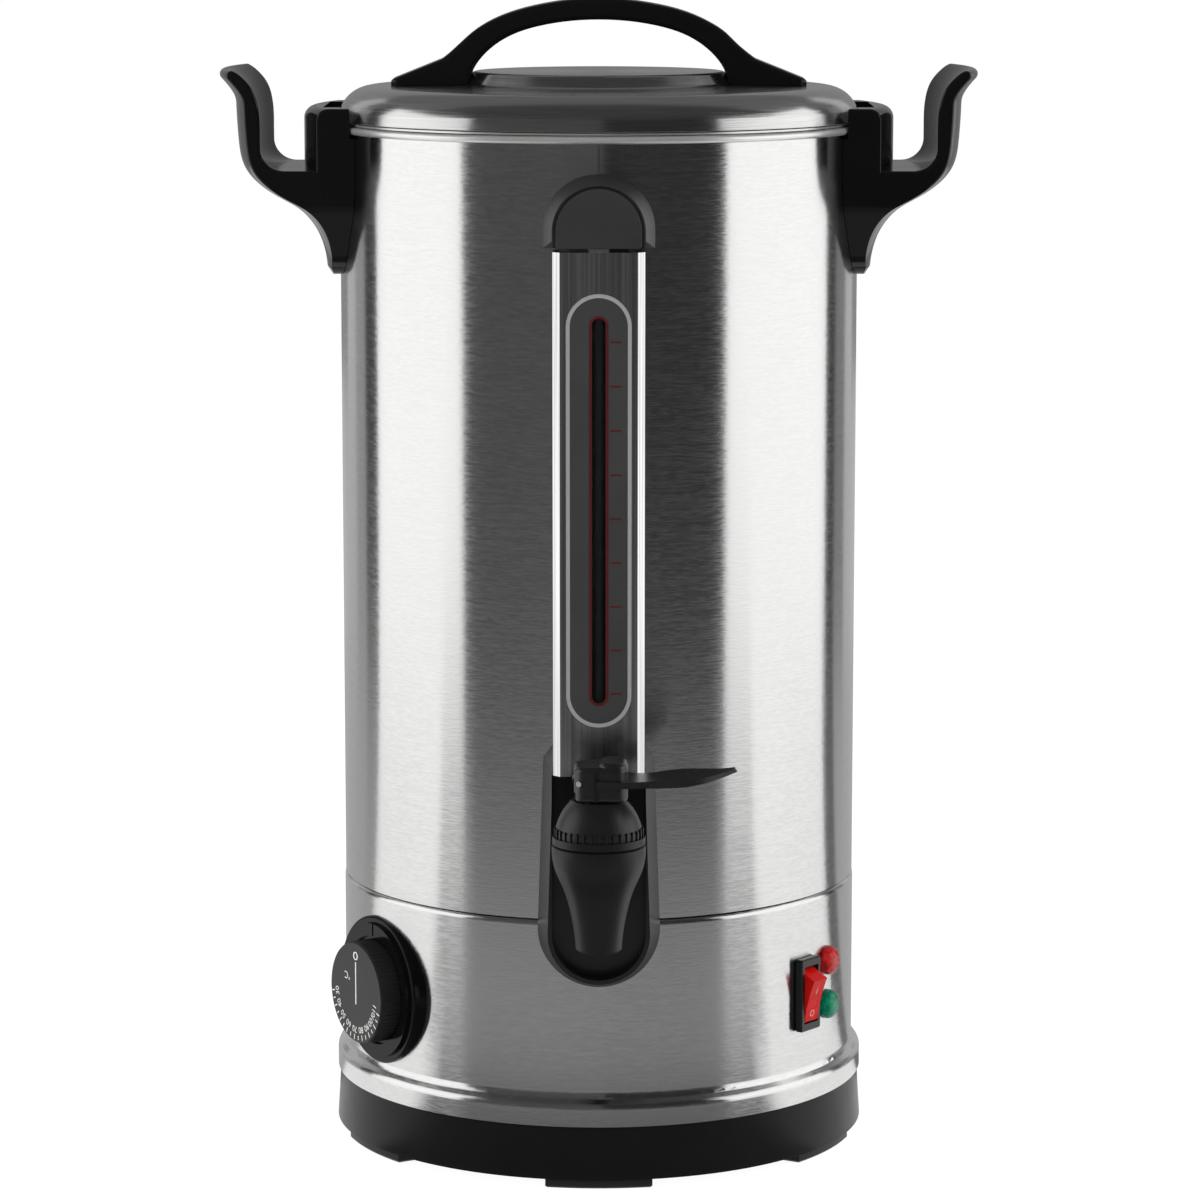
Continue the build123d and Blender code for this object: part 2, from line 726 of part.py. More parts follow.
with BuildPart() as switch_rocker:
    with BuildSketch(side_plane(switch_azimuth - 90, 0, switch_height)):
        with BuildLine():
            ThreePointArc(
                rocker_point(-rocker_half, rocker_rise),
                rocker_point(0, rocker_rise - rocker_dip),
                rocker_point(rocker_half, rocker_rise),
            )
            Polyline(
                rocker_point(rocker_half, rocker_rise),
                rocker_point(rocker_half + 2.0, 0.5),
                rocker_point(7.0, -4.0),
                rocker_point(-7.0, -4.0),
                rocker_point(-rocker_half - 2.0, 0.5),
                rocker_point(-rocker_half, rocker_rise),
            )
        make_face()
    extrude(amount=switch_well_width / 2 - rocker_play, both=True)
    with BuildSketch(side_plane(switch_azimuth - 90, 0, switch_height)):
        with Locations((pivot_distance, 0)):
            Circle(rocker_shaft)
    extrude(amount=switch_body_width / 2 - 0.6, both=True)
finish(switch_rocker, "switch_rocker")

for lamp_name, lamp_height in (("lamp_red", red_height), ("lamp_green", green_height)):
    with BuildPart() as lamp:
        with BuildSketch(side_plane(lamp_azimuth, lower_radius + 0.1, lamp_height)):
            Circle(lamp_radius)
        extrude(amount=lamp_proud)
        fillet(lamp.faces().filter_by(GeomType.PLANE).sort_by(SortBy.DISTANCE)[-1].edges(),
               radius=lamp_proud - 0.8)
        with BuildSketch(side_plane(lamp_azimuth, lower_radius + 0.1, lamp_height)):
            Circle(lamp_stem)
        extrude(amount=-lamp_length)
    finish(lamp, lamp_name)

# ================================================================ wiring
# Terminal block on the bottom plate, with three screw holes.
with BuildPart() as terminal_block:
    with Locations((0, block_back, ledge_bottom)):
        Box(block_width, block_depth, block_height, align=(Align.CENTER, Align.CENTER, Align.MIN))
    with Locations((0, block_back, ledge_bottom + block_height)):
        with GridLocations(block_pitch, 0, 3, 1):
            Cylinder(block_hole, block_height / 2, mode=Mode.SUBTRACT,
                     align=(Align.CENTER, Align.CENTER, Align.MAX))
finish(terminal_block, "terminal_block")

# Gland: a flanged bush with a domed clamping nut outside, bored for the cord.
gland_seat = lower_radius + 0.1
with BuildPart() as cable_gland:
    with BuildSketch(side_plane(180, gland_seat - gland_inside, gland_height)):
        Circle(gland_radius)
    extrude(amount=gland_inside)
    with BuildSketch(side_plane(180, gland_seat, gland_height)):
        Circle(gland_flange)
    extrude(amount=3.0)
    with BuildSketch(side_plane(180, gland_seat + 3.0, gland_height)):
        RegularPolygon(gland_flange - 0.6, 6)
    extrude(amount=6.0)
    with BuildSketch(side_plane(180, gland_seat + 9.0, gland_height)):
        Circle(gland_flange - 2.5)
    extrude(amount=gland_outside - 9.0, taper=25)
    with BuildSketch(side_plane(180, gland_seat + gland_outside, gland_height)):
        Circle(gland_bore)
    extrude(amount=-(gland_outside + gland_inside), mode=Mode.SUBTRACT)
finish(cable_gland, "cable_gland")

# ================================================================ sight gauge
# Housing: a channel bent from thicker sheet, with bevelled corners and a window for the label.
half_gauge = gauge_width / 2
inner_corner = gauge_bevel - gauge_sheet * 0.41
with BuildPart() as sight_housing:
    with BuildSketch(Plane.XY.offset(gauge_bottom)):
        with BuildLine():
            Polyline(
                (-half_gauge, -drum_radius * 0.9),
                (-half_gauge, -gauge_front + gauge_bevel),
                (-half_gauge + gauge_bevel, -gauge_front),
                (half_gauge - gauge_bevel, -gauge_front),
                (half_gauge, -gauge_front + gauge_bevel),
                (half_gauge, -drum_radius * 0.9),
                (half_gauge - gauge_sheet, -drum_radius * 0.9),
                (half_gauge - gauge_sheet, -gauge_front + gauge_sheet + inner_corner),
                (half_gauge - gauge_sheet - inner_corner, -gauge_front + gauge_sheet),
                (-half_gauge + gauge_sheet + inner_corner, -gauge_front + gauge_sheet),
                (-half_gauge + gauge_sheet, -gauge_front + gauge_sheet + inner_corner),
                (-half_gauge + gauge_sheet, -drum_radius * 0.9),
                close=True,
            )
        make_face()
        Circle(drum_radius, mode=Mode.SUBTRACT)
    extrude(amount=gauge_top - gauge_bottom)
    with BuildSketch(front_plane(gauge_front)):
        with Locations((0, label_centre)):
            SlotOverall(label_length, label_width, rotation=90)
    extrude(amount=-gauge_sheet, mode=Mode.SUBTRACT)
finish(sight_housing, "sight_housing")

# Label plate: fills the window, with the slot that shows the tube.
with BuildPart() as sight_label:
    with BuildSketch(front_plane(gauge_front - 0.2)):
        with Locations((0, label_centre)):
            SlotOverall(label_length - 0.2, label_width - 0.2, rotation=90)
            SlotOverall(slot_length, slot_width, rotation=90, mode=Mode.SUBTRACT)
    extrude(amount=-label_thick)
finish(sight_label, "sight_label")

with BuildPart() as sight_tube:
    with BuildSketch(Plane.XY.offset(tube_bottom)):
        with Locations((0, -tube_distance)):
            Circle(tube_radius)
            Circle(tube_radius - tube_wall, mode=Mode.SUBTRACT)
    extrude(amount=elbow_height - 4.0 - tube_bottom)
finish(sight_tube, "sight_tube")

# Grommets that seal the tube's two ends.
with BuildPart() as sight_seals:
    for seal_bottom in (tube_bottom + 7.2, elbow_height - elbow_drop - seal_height - 0.2):
        with BuildSketch(Plane.XY.offset(seal_bottom)):
            with Locations((0, -tube_distance)):
                Circle(elbow_radius)
                Circle(tube_radius, mode=Mode.SUBTRACT)
        extrude(amount=seal_height)
finish(sight_seals, "sight_seals")

# Elbow: joins the tube's top to the pot, so that the level shown is the level inside.
with BuildPart() as sight_elbow:
    with BuildSketch(Plane.XY.offset(elbow_height - elbow_drop)):
        with Locations((0, -tube_distance)):
            Circle(elbow_radius)
    extrude(amount=elbow_drop + elbow_spigot)
    with BuildSketch(front_plane(tube_distance)):
        with Locations((0, elbow_height)):
            Circle(elbow_spigot)
    extrude(amount=-(tube_distance - pot_inner + 5.0))
    with BuildSketch(front_plane(tube_distance)):
        with Locations((0, elbow_height)):
            Circle(elbow_bore)
    extrude(amount=-(tube_distance - pot_inner + 5.0), mode=Mode.SUBTRACT)
    with BuildSketch(Plane.XY.offset(elbow_height - elbow_drop)):
        with Locations((0, -tube_distance)):
            Circle(tube_radius + running)
    extrude(amount=elbow_drop - 3.8, mode=Mode.SUBTRACT)
finish(sight_elbow, "sight_elbow")

with BuildPart() as sight_elbow_nut:
    with BuildSketch(front_plane(pot_inner - 0.9)):
        with Locations((0, elbow_height)):
            RegularPolygon(elbow_nut, 6)
            Circle(elbow_spigot, mode=Mode.SUBTRACT)
    extrude(amount=-3.0)
finish(sight_elbow_nut, "sight_elbow_nut")

# Top cap bezel: an arch that tapers out to the drum, over the end of the channel.
cap_depth = gauge_front - cap_back
cap_taper = degrees(atan(cap_draft / cap_depth))
ledge_face = gauge_front - plug_thick - 0.1


def arch_line(radius, bottom):
    """A closed arch about the cap's centre: round top, straight sides and a flat foot."""
    Line((-radius, bottom), (-radius, cap_centre))
    RadiusArc((-radius, cap_centre), (radius, cap_centre), radius)
    Polyline((radius, cap_centre), (radius, bottom), (-radius, bottom))


with BuildPart() as sight_cap_bezel:
    with BuildSketch(front_plane(cap_back)):
        with BuildLine():
            arch_line(cap_radius, cap_bottom)
        make_face()
    extrude(amount=cap_depth, taper=cap_taper)
    with BuildSketch(front_plane(cap_back)):
        with BuildLine():
            arch_line(cap_inner - 2.4, cap_bottom - 5)
        make_face()
    extrude(amount=cap_depth, mode=Mode.SUBTRACT)
    with BuildSketch(front_plane(ledge_face)):
        with BuildLine():
            arch_line(cap_inner, cap_bottom - 5)
        make_face()
    extrude(amount=plug_thick + 1.0, mode=Mode.SUBTRACT)
    with Locations((0, 0, cap_centre)):
        Cylinder(drum_radius, 4 * cap_radius, mode=Mode.SUBTRACT)
finish(sight_cap_bezel, "sight_cap_bezel")

with BuildPart() as sight_cap_plug:
    with BuildSketch(front_plane(ledge_face + 0.1)):
        with BuildLine():
            arch_line(plug_radius, plug_bottom)
        make_face()
    extrude(amount=plug_thick)
    fillet(sight_cap_plug.edges().filter_by(Axis.Y).group_by(Axis.Z)[0], radius=1.5)
    fillet(sight_cap_plug.faces().sort_by(Axis.Y)[0].edges(), radius=0.4)
finish(sight_cap_plug, "sight_cap_plug")

# ================================================================ tap surround
tray_back = drum_radius - 3.0
tray_depth = tray_front - tray_back
tray_taper = degrees(atan(tray_draft / tray_depth))
with BuildPart() as tap_surround:
    with BuildSketch(front_plane(tray_back)):
        with BuildLine():
            RadiusArc((tray_half, tray_centre), (-tray_half, tray_centre), tray_half)
            Polyline(
                (-tray_half, tray_centre),
                (-tray_half_top, tray_top - 1.5 * tray_chamfer),
                (-tray_half_top + tray_chamfer, tray_top),
                (tray_half_top - tray_chamfer, tray_top),
                (tray_half_top, tray_top - 1.5 * tray_chamfer),
                (tray_half, tray_centre),
            )
        make_face()
    extrude(amount=tray_depth, taper=tray_taper)
    with BuildSketch(front_plane(tray_face)):
        with Locations((0, tray_centre)):
            Circle(tray_inner)
        with Locations((0, (tray_centre + gauge_bottom) / 2)):
            Rectangle(2 * tray_inner, gauge_bottom - tray_centre)
    extrude(amount=tray_depth, mode=Mode.SUBTRACT)
    with BuildSketch(front_plane(tray_back)):
        with Locations((0, gauge_bottom)):
            Rectangle(gauge_width + 0.2, 2 * (tray_top - gauge_bottom),
                      align=(Align.CENTER, Align.MIN))
        with Locations((0, shank_height)):
            Circle(shank_radius + 0.2)
    extrude(amount=tray_depth + 1, mode=Mode.SUBTRACT)
    with Locations((0, 0, tray_centre)):
        Cylinder(lower_radius + 0.1, 4 * tray_top, mode=Mode.SUBTRACT)
finish(tap_surround, "tap_surround")

# ================================================================ tap
# Body: a valve chamber, a shank into the pot, and a port for the gauge's tube on the shank. The
# bell-shaped nozzle is joined on below the seat.
tap_axis = Axis((0, -tap_distance, 0), (0, 0, 1))
tap_section = Plane(origin=(0, -tap_distance, 0), x_dir=(1, 0, 0), z_dir=(0, -1, 0))
joint_height = seat_height - nozzle_joint
flange_back = tray_face + gasket_thick
shank_inner = pot_inner - 12.0


def bell_outline():
    """The bell's half section: its mouth, swelling side, collar, chamber and seat."""
    Polyline(
        (nozzle_bore, nozzle_bottom),
        (nozzle_tip - 1.0, nozzle_bottom),
        (nozzle_tip, nozzle_bottom + 1.0),
    )
    Spline(
        (nozzle_tip, nozzle_bottom + 1.0),
        (nozzle_tip + 1.3, nozzle_bottom + 12.0),
        (bell_radius - 4.4, bell_height - 15.8),
        (bell_radius, bell_height),
        tangents=[(0.05, 1), (0, 1)],
    )
    Polyline(
        (bell_radius, bell_height),
        (bell_radius, bell_height + 1.4),
        (collar_radius - 0.6, bell_height + 1.8),
        (collar_radius, bell_height + 2.4),
        (collar_radius, bell_top),
        (chamber_radius, bell_top),
        (chamber_radius, seat_height),
        (seat_bore + 1.6, seat_height),
        (seat_bore + 1.0, seat_height + seat_lip),
        (seat_bore, seat_height + seat_lip),
        (seat_bore, seat_height - nozzle_joint / 2),
        (nozzle_bore, joint_height),
        (nozzle_bore, nozzle_bottom),
    )


with BuildPart() as tap_nozzle:
    with BuildSketch(tap_section):
        with BuildLine():
            bell_outline()
        make_face()
    revolve(axis=tap_axis)
    split(bisect_by=Plane.XY.offset(joint_height), keep=Keep.BOTTOM)
finish(tap_nozzle, "tap_nozzle")

with BuildPart() as tap_body:
    with BuildSketch(tap_section):
        with BuildLine():
            bell_outline()
        make_face()
    revolve(axis=tap_axis)
    split(bisect_by=Plane.XY.offset(joint_height), keep=Keep.TOP)
    with BuildSketch(front_plane(shank_inner)):
        with Locations((0, shank_height)):
            Circle(shank_radius)
    extrude(amount=tap_distance - chamber_radius - 0.6 - shank_inner)
    with BuildSketch(front_plane(flange_back)):
        with Locations((0, shank_height)):
            Circle(flange_radius)
    extrude(amount=flange_thick)
    with BuildSketch(Plane.XY.offset(shank_height)):
        with Locations((0, -tube_distance)):
            Circle(elbow_radius)
    extrude(amount=tube_bottom + 7.0 - shank_height)
    with BuildSketch(front_plane(shank_inner)):
        with Locations((0, shank_height)):
            Circle(shank_bore)
    extrude(amount=tap_distance - chamber_radius + 1.5 - shank_inner, mode=Mode.SUBTRACT)
    with BuildSketch(Plane.XY.offset(tube_bottom - 0.2)):
        with Locations((0, -tube_distance)):
            Circle(tube_radius + running)
    extrude(amount=8.0, mode=Mode.SUBTRACT)
    with BuildSketch(Plane.XY.offset(shank_height)):
        with Locations((0, -tube_distance)):
            Circle(tube_radius - tube_wall)
    extrude(amount=tube_bottom - shank_height, mode=Mode.SUBTRACT)
finish(tap_body, "tap_body")

with BuildPart() as tap_gasket:
    with BuildSketch(front_plane(tray_face)):
        with Locations((0, shank_height)):
            Circle(flange_radius - 0.5)
            Circle(shank_radius + 0.05, mode=Mode.SUBTRACT)
    extrude(amount=gasket_thick)
finish(tap_gasket, "tap_gasket")

with BuildPart() as tap_nut:
    with BuildSketch(front_plane(pot_inner - 1.8)):
        with Locations((0, shank_height)):
            RegularPolygon(nut_radius, 6)
            Circle(shank_radius, mode=Mode.SUBTRACT)
    extrude(amount=-6.0)
finish(tap_nut, "tap_nut")

# Bonnet: a domed nut with short ribs round its foot, and a neck that carries the swivel hub.
dome_start = bell_top
stem_bore = stem_radius + running
with BuildPart() as tap_bonnet:
    with BuildSketch(tap_section):
        with BuildLine():
            Polyline(
                (chamber_radius - 0.1 - bonnet_wall, dome_start - 2.2),
                (chamber_radius - 0.1, dome_start - 2.2),
                (chamber_radius - 0.1, dome_start),
                (bonnet_radius - 0.7, dome_start),
                (bonnet_radius - 0.7, dome_start + 1.8),
            )
            ThreePointArc(
                (bonnet_radius - 0.7, dome_start + 1.8),
                (bonnet_shoulder + 3.9, bonnet_top - 5.0),
                (bonnet_shoulder, bonnet_top),
            )
            Polyline(
                (bonnet_shoulder, bonnet_top),
                (neck_radius, bonnet_top),
                (neck_radius, bonnet_top + neck_height),
                (stem_bore, bonnet_top + neck_height),
                (stem_bore, bonnet_top - bonnet_wall - 1.0),
                (bonnet_shoulder - 2.4, bonnet_top - bonnet_wall - 1.0),
                (chamber_radius - 0.1 - bonnet_wall, dome_start + 3.5),
                (chamber_radius - 0.1 - bonnet_wall, dome_start - 2.2),
            )
        make_face()
    revolve(axis=tap_axis)
    with Locations((0, -tap_distance, dome_start)):
        with PolarLocations(bonnet_radius - 0.75, bonnet_ribs):
            Box(1.3, 0.8, rib_height, align=(Align.CENTER, Align.CENTER, Align.MIN))
finish(tap_bonnet, "tap_bonnet")

# Stem: slides in the bonnet, with a plate for the spring and seal below and a cross bar above.
disc_bottom = seat_height + disc_lift
with BuildPart() as tap_stem:
    with BuildSketch(tap_section):
        with BuildLine():
            Polyline(
                (0, disc_bottom - 2.2),
                (stem_foot, disc_bottom - 2.2),
                (stem_foot, disc_bottom),
                (disc_radius, disc_bottom),
                (disc_radius, disc_bottom + disc_thick),
                (stem_radius, disc_bottom + disc_thick),
                (stem_radius, pin_height + 1.4),
                (stem_radius - 0.8, pin_height + 2.2),
                (0, pin_height + 2.2),
                close=True,
            )
        make_face()
    revolve(axis=tap_axis)
    with BuildSketch(front_plane(tap_distance)):
        with Locations((0, pin_height)):
            Circle(pin_radius)
    extrude(amount=bar_half, both=True)
finish(tap_stem, "tap_stem")

# Seal: a soft cup on the stem's foot, which closes the seat's lip.
with BuildPart() as tap_seal:
    with BuildSketch(tap_section):
        with BuildLine():
            Polyline(
                (0, seat_height + seat_lip + 0.3),
                (seal_radius - 0.6, seat_height + seat_lip + 0.3),
                (seal_radius, seat_height + seat_lip + 1.0),
                (seal_radius, disc_bottom - 0.05),
                (stem_foot + 0.05, disc_bottom - 0.05),
                (stem_foot + 0.05, disc_bottom - 2.25),
                (0, disc_bottom - 2.25),
                close=True,
            )
        make_face()
    revolve(axis=tap_axis)
finish(tap_seal, "tap_seal")

# Spring: presses the stem's plate down from the bonnet's inside.
spring_bottom = disc_bottom + disc_thick + spring_wire
spring_top = bonnet_top - bonnet_wall - 1.0 - spring_wire
with BuildPart() as tap_spring:
    with BuildLine(Plane(origin=(0, -tap_distance, spring_bottom))) as coil:
        Helix(pitch=(spring_top - spring_bottom) / spring_turns, height=spring_top - spring_bottom,
              radius=spring_radius)
    with BuildSketch(Plane(origin=coil.line @ 0, z_dir=coil.line % 0)):
        RegularPolygon(spring_wire, 6)
    sweep(path=coil.line, is_frenet=True)
finish(tap_spring, "tap_spring")

# Hub: a collar that turns on the bonnet's neck, with a rounded post for the lever's pin.
hub_bottom = bonnet_top + play
with BuildPart() as tap_hub:
    with BuildSketch(Plane.XY.offset(hub_bottom)):
        with Locations((0, -tap_distance)):
            Circle(hub_radius)
    extrude(amount=hub_height)
    with BuildSketch(front_plane(tap_distance)):
        with Locations((-pin_offset, pin_height)):
            Circle(post_round + 0.7)
        with Locations((-pin_offset, hub_bottom)):
            Rectangle(2 * post_round, pin_height - hub_bottom, align=(Align.CENTER, Align.MIN))
    extrude(amount=post_half, both=True)
    with BuildSketch(Plane.XY.offset(hub_bottom)):
        with Locations((0, -tap_distance)):
            Circle(neck_radius + running)
    extrude(amount=hub_height, mode=Mode.SUBTRACT)
    with BuildSketch(front_plane(tap_distance)):
        with Locations((-pin_offset, pin_height)):
            Circle(pin_radius)
    extrude(amount=2 * post_half, both=True, mode=Mode.SUBTRACT)
finish(tap_hub, "tap_hub")

with BuildPart() as tap_pin:
    with BuildSketch(front_plane(tap_distance)):
        with Locations((-pin_offset, pin_height)):
            Circle(pin_radius)
    extrude(amount=head_half + 0.1, both=True)
finish(tap_pin, "tap_pin")

# Lever's blade: a dished sheet, cut to a leaf-shaped outline.
blade_low = pin_height - 1.3
blade_root = -groove_width / 2
blade_belly = 0.55 * blade_reach
blade_tip_half = 1.5
with BuildPart() as blade:
    with BuildSketch(tap_section):
        with BuildLine():
            Spline(
                (blade_root, blade_low),
                (head_right + 6, blade_low - 0.6),
                (blade_belly, blade_low + 0.2),
                (blade_reach, pin_height + 3.6),
                tangents=[(1, 0), (1, 0.35)],
            )
            Line((blade_reach, pin_height + 3.6), (blade_reach - 1.0, pin_height + 4.8))
            Spline(
                (blade_reach - 1.0, pin_height + 4.8),
                (blade_belly, blade_low + blade_thick + 0.6),
                (head_right + 6, blade_low + blade_thick - 0.4),
                (blade_root, blade_low + blade_thick),
                tangents=[(-1, -0.3), (-1, 0)],
            )
            Line((blade_root, blade_low + blade_thick), (blade_root, blade_low))
        make_face()
    extrude(amount=2 * blade_half, both=True)
    with BuildSketch(Plane.XY.offset(pin_height - 10)):
        with BuildLine():
            Spline(
                (blade_root, -tap_distance - head_half - root_stand),
                (head_right - 2, -tap_distance - head_half - root_stand),
                (head_right + 7, -tap_distance - head_half + 1.2),
                (blade_belly, -tap_distance - blade_half),
                (blade_reach, -tap_distance - blade_tip_half),
                tangents=[(1, 0), (1, 0.6)],
            )
            Line((blade_reach, -tap_distance - blade_tip_half),
                 (blade_reach, -tap_distance + blade_tip_half))
            Spline(
                (blade_reach, -tap_distance + blade_tip_half),
                (blade_belly, -tap_distance + blade_half),
                (head_right + 7, -tap_distance + head_half - 1.2),
                (head_right - 2, -tap_distance + head_half + root_stand),
                (blade_root, -tap_distance + head_half + root_stand),
                tangents=[(-1, 0.6), (-1, 0)],
            )
            Line((blade_root, -tap_distance + head_half + root_stand),
                 (blade_root, -tap_distance - head_half - root_stand))
        make_face()
    extrude(amount=20, mode=Mode.INTERSECT)

# Lever: a rounded head that straddles the hub's post and the stem, with the blade on its right.
# The head is lower over the pin, and an upright groove on each face parts it from the rest.
head_length = head_left + head_right
head_middle = (head_right - head_left) / 2
with BuildPart() as tap_lever:
    with BuildSketch(Plane.XY.offset(head_bottom)):
        with Locations((head_middle, -tap_distance)):
            RectangleRounded(head_length, 2 * head_half, 5.5)
    extrude(amount=head_top - head_step - head_bottom)
    fillet(tap_lever.edges().group_by(Axis.Z)[-1], radius=head_round - 1)
    fillet(tap_lever.edges().group_by(Axis.Z)[0], radius=head_round / 2)
    with BuildSketch(Plane.XY.offset(head_top - 2 * head_round)):
        with Locations((head_right / 2, -tap_distance)):
            RectangleRounded(head_right - 0.4, 2 * head_half - 0.4, 5.3)
    extrude(amount=2 * head_round)
    fillet(tap_lever.edges().group_by(Axis.Z)[-1], radius=head_round - 0.4)
    with BuildSketch(Plane.XY.offset(head_bottom)):
        with Locations((blade_root, -tap_distance - head_half), (blade_root, -tap_distance + head_half)):
            Rectangle(groove_width, 2 * groove_depth)
    extrude(amount=head_top - head_bottom, mode=Mode.SUBTRACT)
    add(blade.part)
    # Slot between the cheeks, open below and to the left, for the post and the stem.
    with BuildSketch(front_plane(tap_distance)):
        with Locations((-head_left - 1, head_bottom - 1)):
            Rectangle(head_left + 1 + stem_radius + 3.2, pin_height + 3.6 - head_bottom + 1,
                      align=(Align.MIN, Align.MIN))
    extrude(amount=post_half + play, both=True, mode=Mode.SUBTRACT)
    # Wider recess over the hub's collar.
    with BuildSketch(front_plane(tap_distance)):
        with Locations((-head_left - 1, head_bottom - 1)):
            Rectangle(head_left + 1 + hub_radius + 0.8, hub_bottom + hub_height + 0.8 - head_bottom + 1,
                      align=(Align.MIN, Align.MIN))
    extrude(amount=hub_radius + 0.6, both=True, mode=Mode.SUBTRACT)
    # Bore for the pin, and blind slots for the stem's cross bar.
    with BuildSketch(front_plane(tap_distance)):
        with Locations((-pin_offset, pin_height)):
            Circle(pin_radius + running)
    extrude(amount=2 * head_half, both=True, mode=Mode.SUBTRACT)
    with BuildSketch(front_plane(tap_distance)):
        with Locations((0, pin_height)):
            SlotCenterToCenter(1.2, 2 * (pin_radius + play))
    extrude(amount=bar_half + play, both=True, mode=Mode.SUBTRACT)
finish(tap_lever, "tap_lever")

# ================================================================ side handles
# A moulding turned about the drum's axis and cut to flat ends: a bracket on the drum, a tongue
# below it, and a grip that rises outside a hand-wide hollow and curls out into a lip.
bracket_face = drum_radius + handle_stand
grip_outer = drum_radius + grip_stand
grip_inner = grip_outer - grip_wall
lip_outer = drum_radius + lip_stand
drum_fit = drum_radius + 0.1
grip_foot = (drum_radius + elbow_stand, drum_top - elbow_fall)


def away_from_drum(edge):
    """True for an edge that doesn't lie against the drum or the rim."""
    return hypot(edge.center().X, edge.center().Y) > drum_radius + 3


def side_handle(side, name):
    """Builds the moulding on one side: side is +1 at +X and -1 at -X."""
    with BuildPart() as handle:
        with BuildSketch(radial_plane(-handle_arc / 2 if side > 0 else 180 - handle_arc / 2)):
            with BuildLine():
                Polyline(
                    (drum_fit, handle_bottom),
                    (drum_radius + tongue_thick - 2.0, handle_bottom),
                    (drum_radius + tongue_thick, handle_bottom + 3.0),
                )
                outside = Spline(
                    (drum_radius + tongue_thick, handle_bottom + 3.0),
                    (drum_radius + tongue_thick + 3.6, handle_bottom + 17.0),
                    (grip_foot[0] - 8.6, grip_foot[1] - 5.0),
                    grip_foot,
                    (grip_outer - 2.4, hollow_floor + 0.6),
                    (grip_outer, hollow_floor + 12.0),
                    (grip_outer + 0.8, grip_top - 15.6),
                    (lip_outer, grip_top - lip_fall),
                    tangents=[(0.1, 1), (1, 1.1)],
                )
                lip = TangentArc(outside @ 1, (lip_outer - 2.6, grip_top), tangent=outside % 1)
                Spline(
                    lip @ 1,
                    (grip_inner + 6.4, grip_top - 3.0),
                    (grip_inner + 2.3, grip_top - 8.7),
                    (grip_inner, hollow_floor + hollow_round + 6.0),
                    (grip_inner, hollow_floor + hollow_round),
                    tangents=[lip % 1, (0, -1)],
                )
                RadiusArc(
                    (grip_inner, hollow_floor + hollow_round),
                    (grip_inner - hollow_round, hollow_floor),
                    hollow_round,
                )
                Polyline(
                    (grip_inner - hollow_round, hollow_floor),
                    (bracket_face, hollow_floor),
                    (bracket_face, handle_top - bracket_round),
                )
                ThreePointArc(
                    (bracket_face, handle_top - bracket_round),
                    (bracket_face - 0.3 * bracket_round, handle_top - 0.3 * bracket_round),
                    (bracket_face - bracket_round, handle_top),
                )
                Polyline(
                    (bracket_face - bracket_round, handle_top),
                    (drum_fit, handle_top),
                    (drum_fit, handle_bottom),
                )
            make_face()
        revolve(axis=Axis.Z, revolution_arc=handle_arc)
        # Ends cut flat.
        with BuildSketch(side_plane(90 * side, drum_radius / 2, 0)):
            Rectangle(2 * handle_half, 4 * grip_top)
        extrude(amount=drum_radius, mode=Mode.INTERSECT)
        # The tongue ends round.
        with BuildSketch(side_plane(90 * side, drum_radius / 2, 0)):
            with BuildLine():
                FilletPolyline(
                    (-handle_half, handle_bottom + tongue_rise),
                    (-handle_half + 2.0, handle_bottom + tongue_rise - 13.0),
                    (-tongue_half, handle_bottom),
                    (0, handle_bottom),
                    radius=[20.0, tongue_round],
                )
                Polyline(
                    (0, handle_bottom),
                    (0, handle_bottom - 9.0),
                    (-handle_half - 9.0, handle_bottom - 9.0),
                    (-handle_half - 9.0, handle_bottom + tongue_rise),
                    (-handle_half, handle_bottom + tongue_rise),
                )
            make_face()
            mirror(about=Plane.YZ)
        extrude(amount=drum_radius, mode=Mode.SUBTRACT)
        ends = handle.faces().filter_by(Axis.Y).group_by(Axis.Y)
        fillet((ends[0] + ends[-1]).edges().filter_by(away_from_drum), radius=handle_round)
        # Relief round the pot's rim and the lid's edge.
        with Locations((0, 0, drum_top - 1.5)):
            Cylinder(lid_edge + rim_relief, handle_top, mode=Mode.SUBTRACT,
                     align=(Align.CENTER, Align.CENTER, Align.MIN))
        # Pocket behind the bracket's top, open to the lid.
        with BuildSketch(Plane.XY.offset(handle_top - pocket_depth)):
            with Locations((side * (drum_radius + pocket_reach), 0)):
                Rectangle(2 * pocket_reach + 8, 2 * pocket_half, align=(
                    Align.MAX if side > 0 else Align.MIN, Align.CENTER))
            Circle(drum_radius + 1.2, mode=Mode.SUBTRACT)
        extrude(amount=pocket_depth + 1, mode=Mode.SUBTRACT)
        with BuildSketch(side_plane(90 * side, drum_radius, 0)):
            with Locations((0, handle_screw_low), (0, handle_screw_high)):
                Circle(handle_screw + 0.05)
        extrude(amount=7.0, mode=Mode.SUBTRACT)
    finish(handle, name)


side_handle(-1, "handle_left")
side_handle(1, "handle_right")

# Handle screws: heads inside the drum, threads in the mouldings.
with BuildPart() as handle_screws:
    for side in (-90, 90):
        with BuildSketch(side_plane(side, drum_radius - sheet - 0.3, 0)):
            with Locations((0, handle_screw_low), (0, handle_screw_high)):
                Circle(handle_screw)
        extrude(amount=6.8)
        with BuildSketch(side_plane(side, drum_radius - sheet - 0.3, 0)):
            with Locations((0, handle_screw_low), (0, handle_screw_high)):
                Circle(2 * handle_screw)
        extrude(amount=-2.0)
finish(handle_screws, "handle_screws")

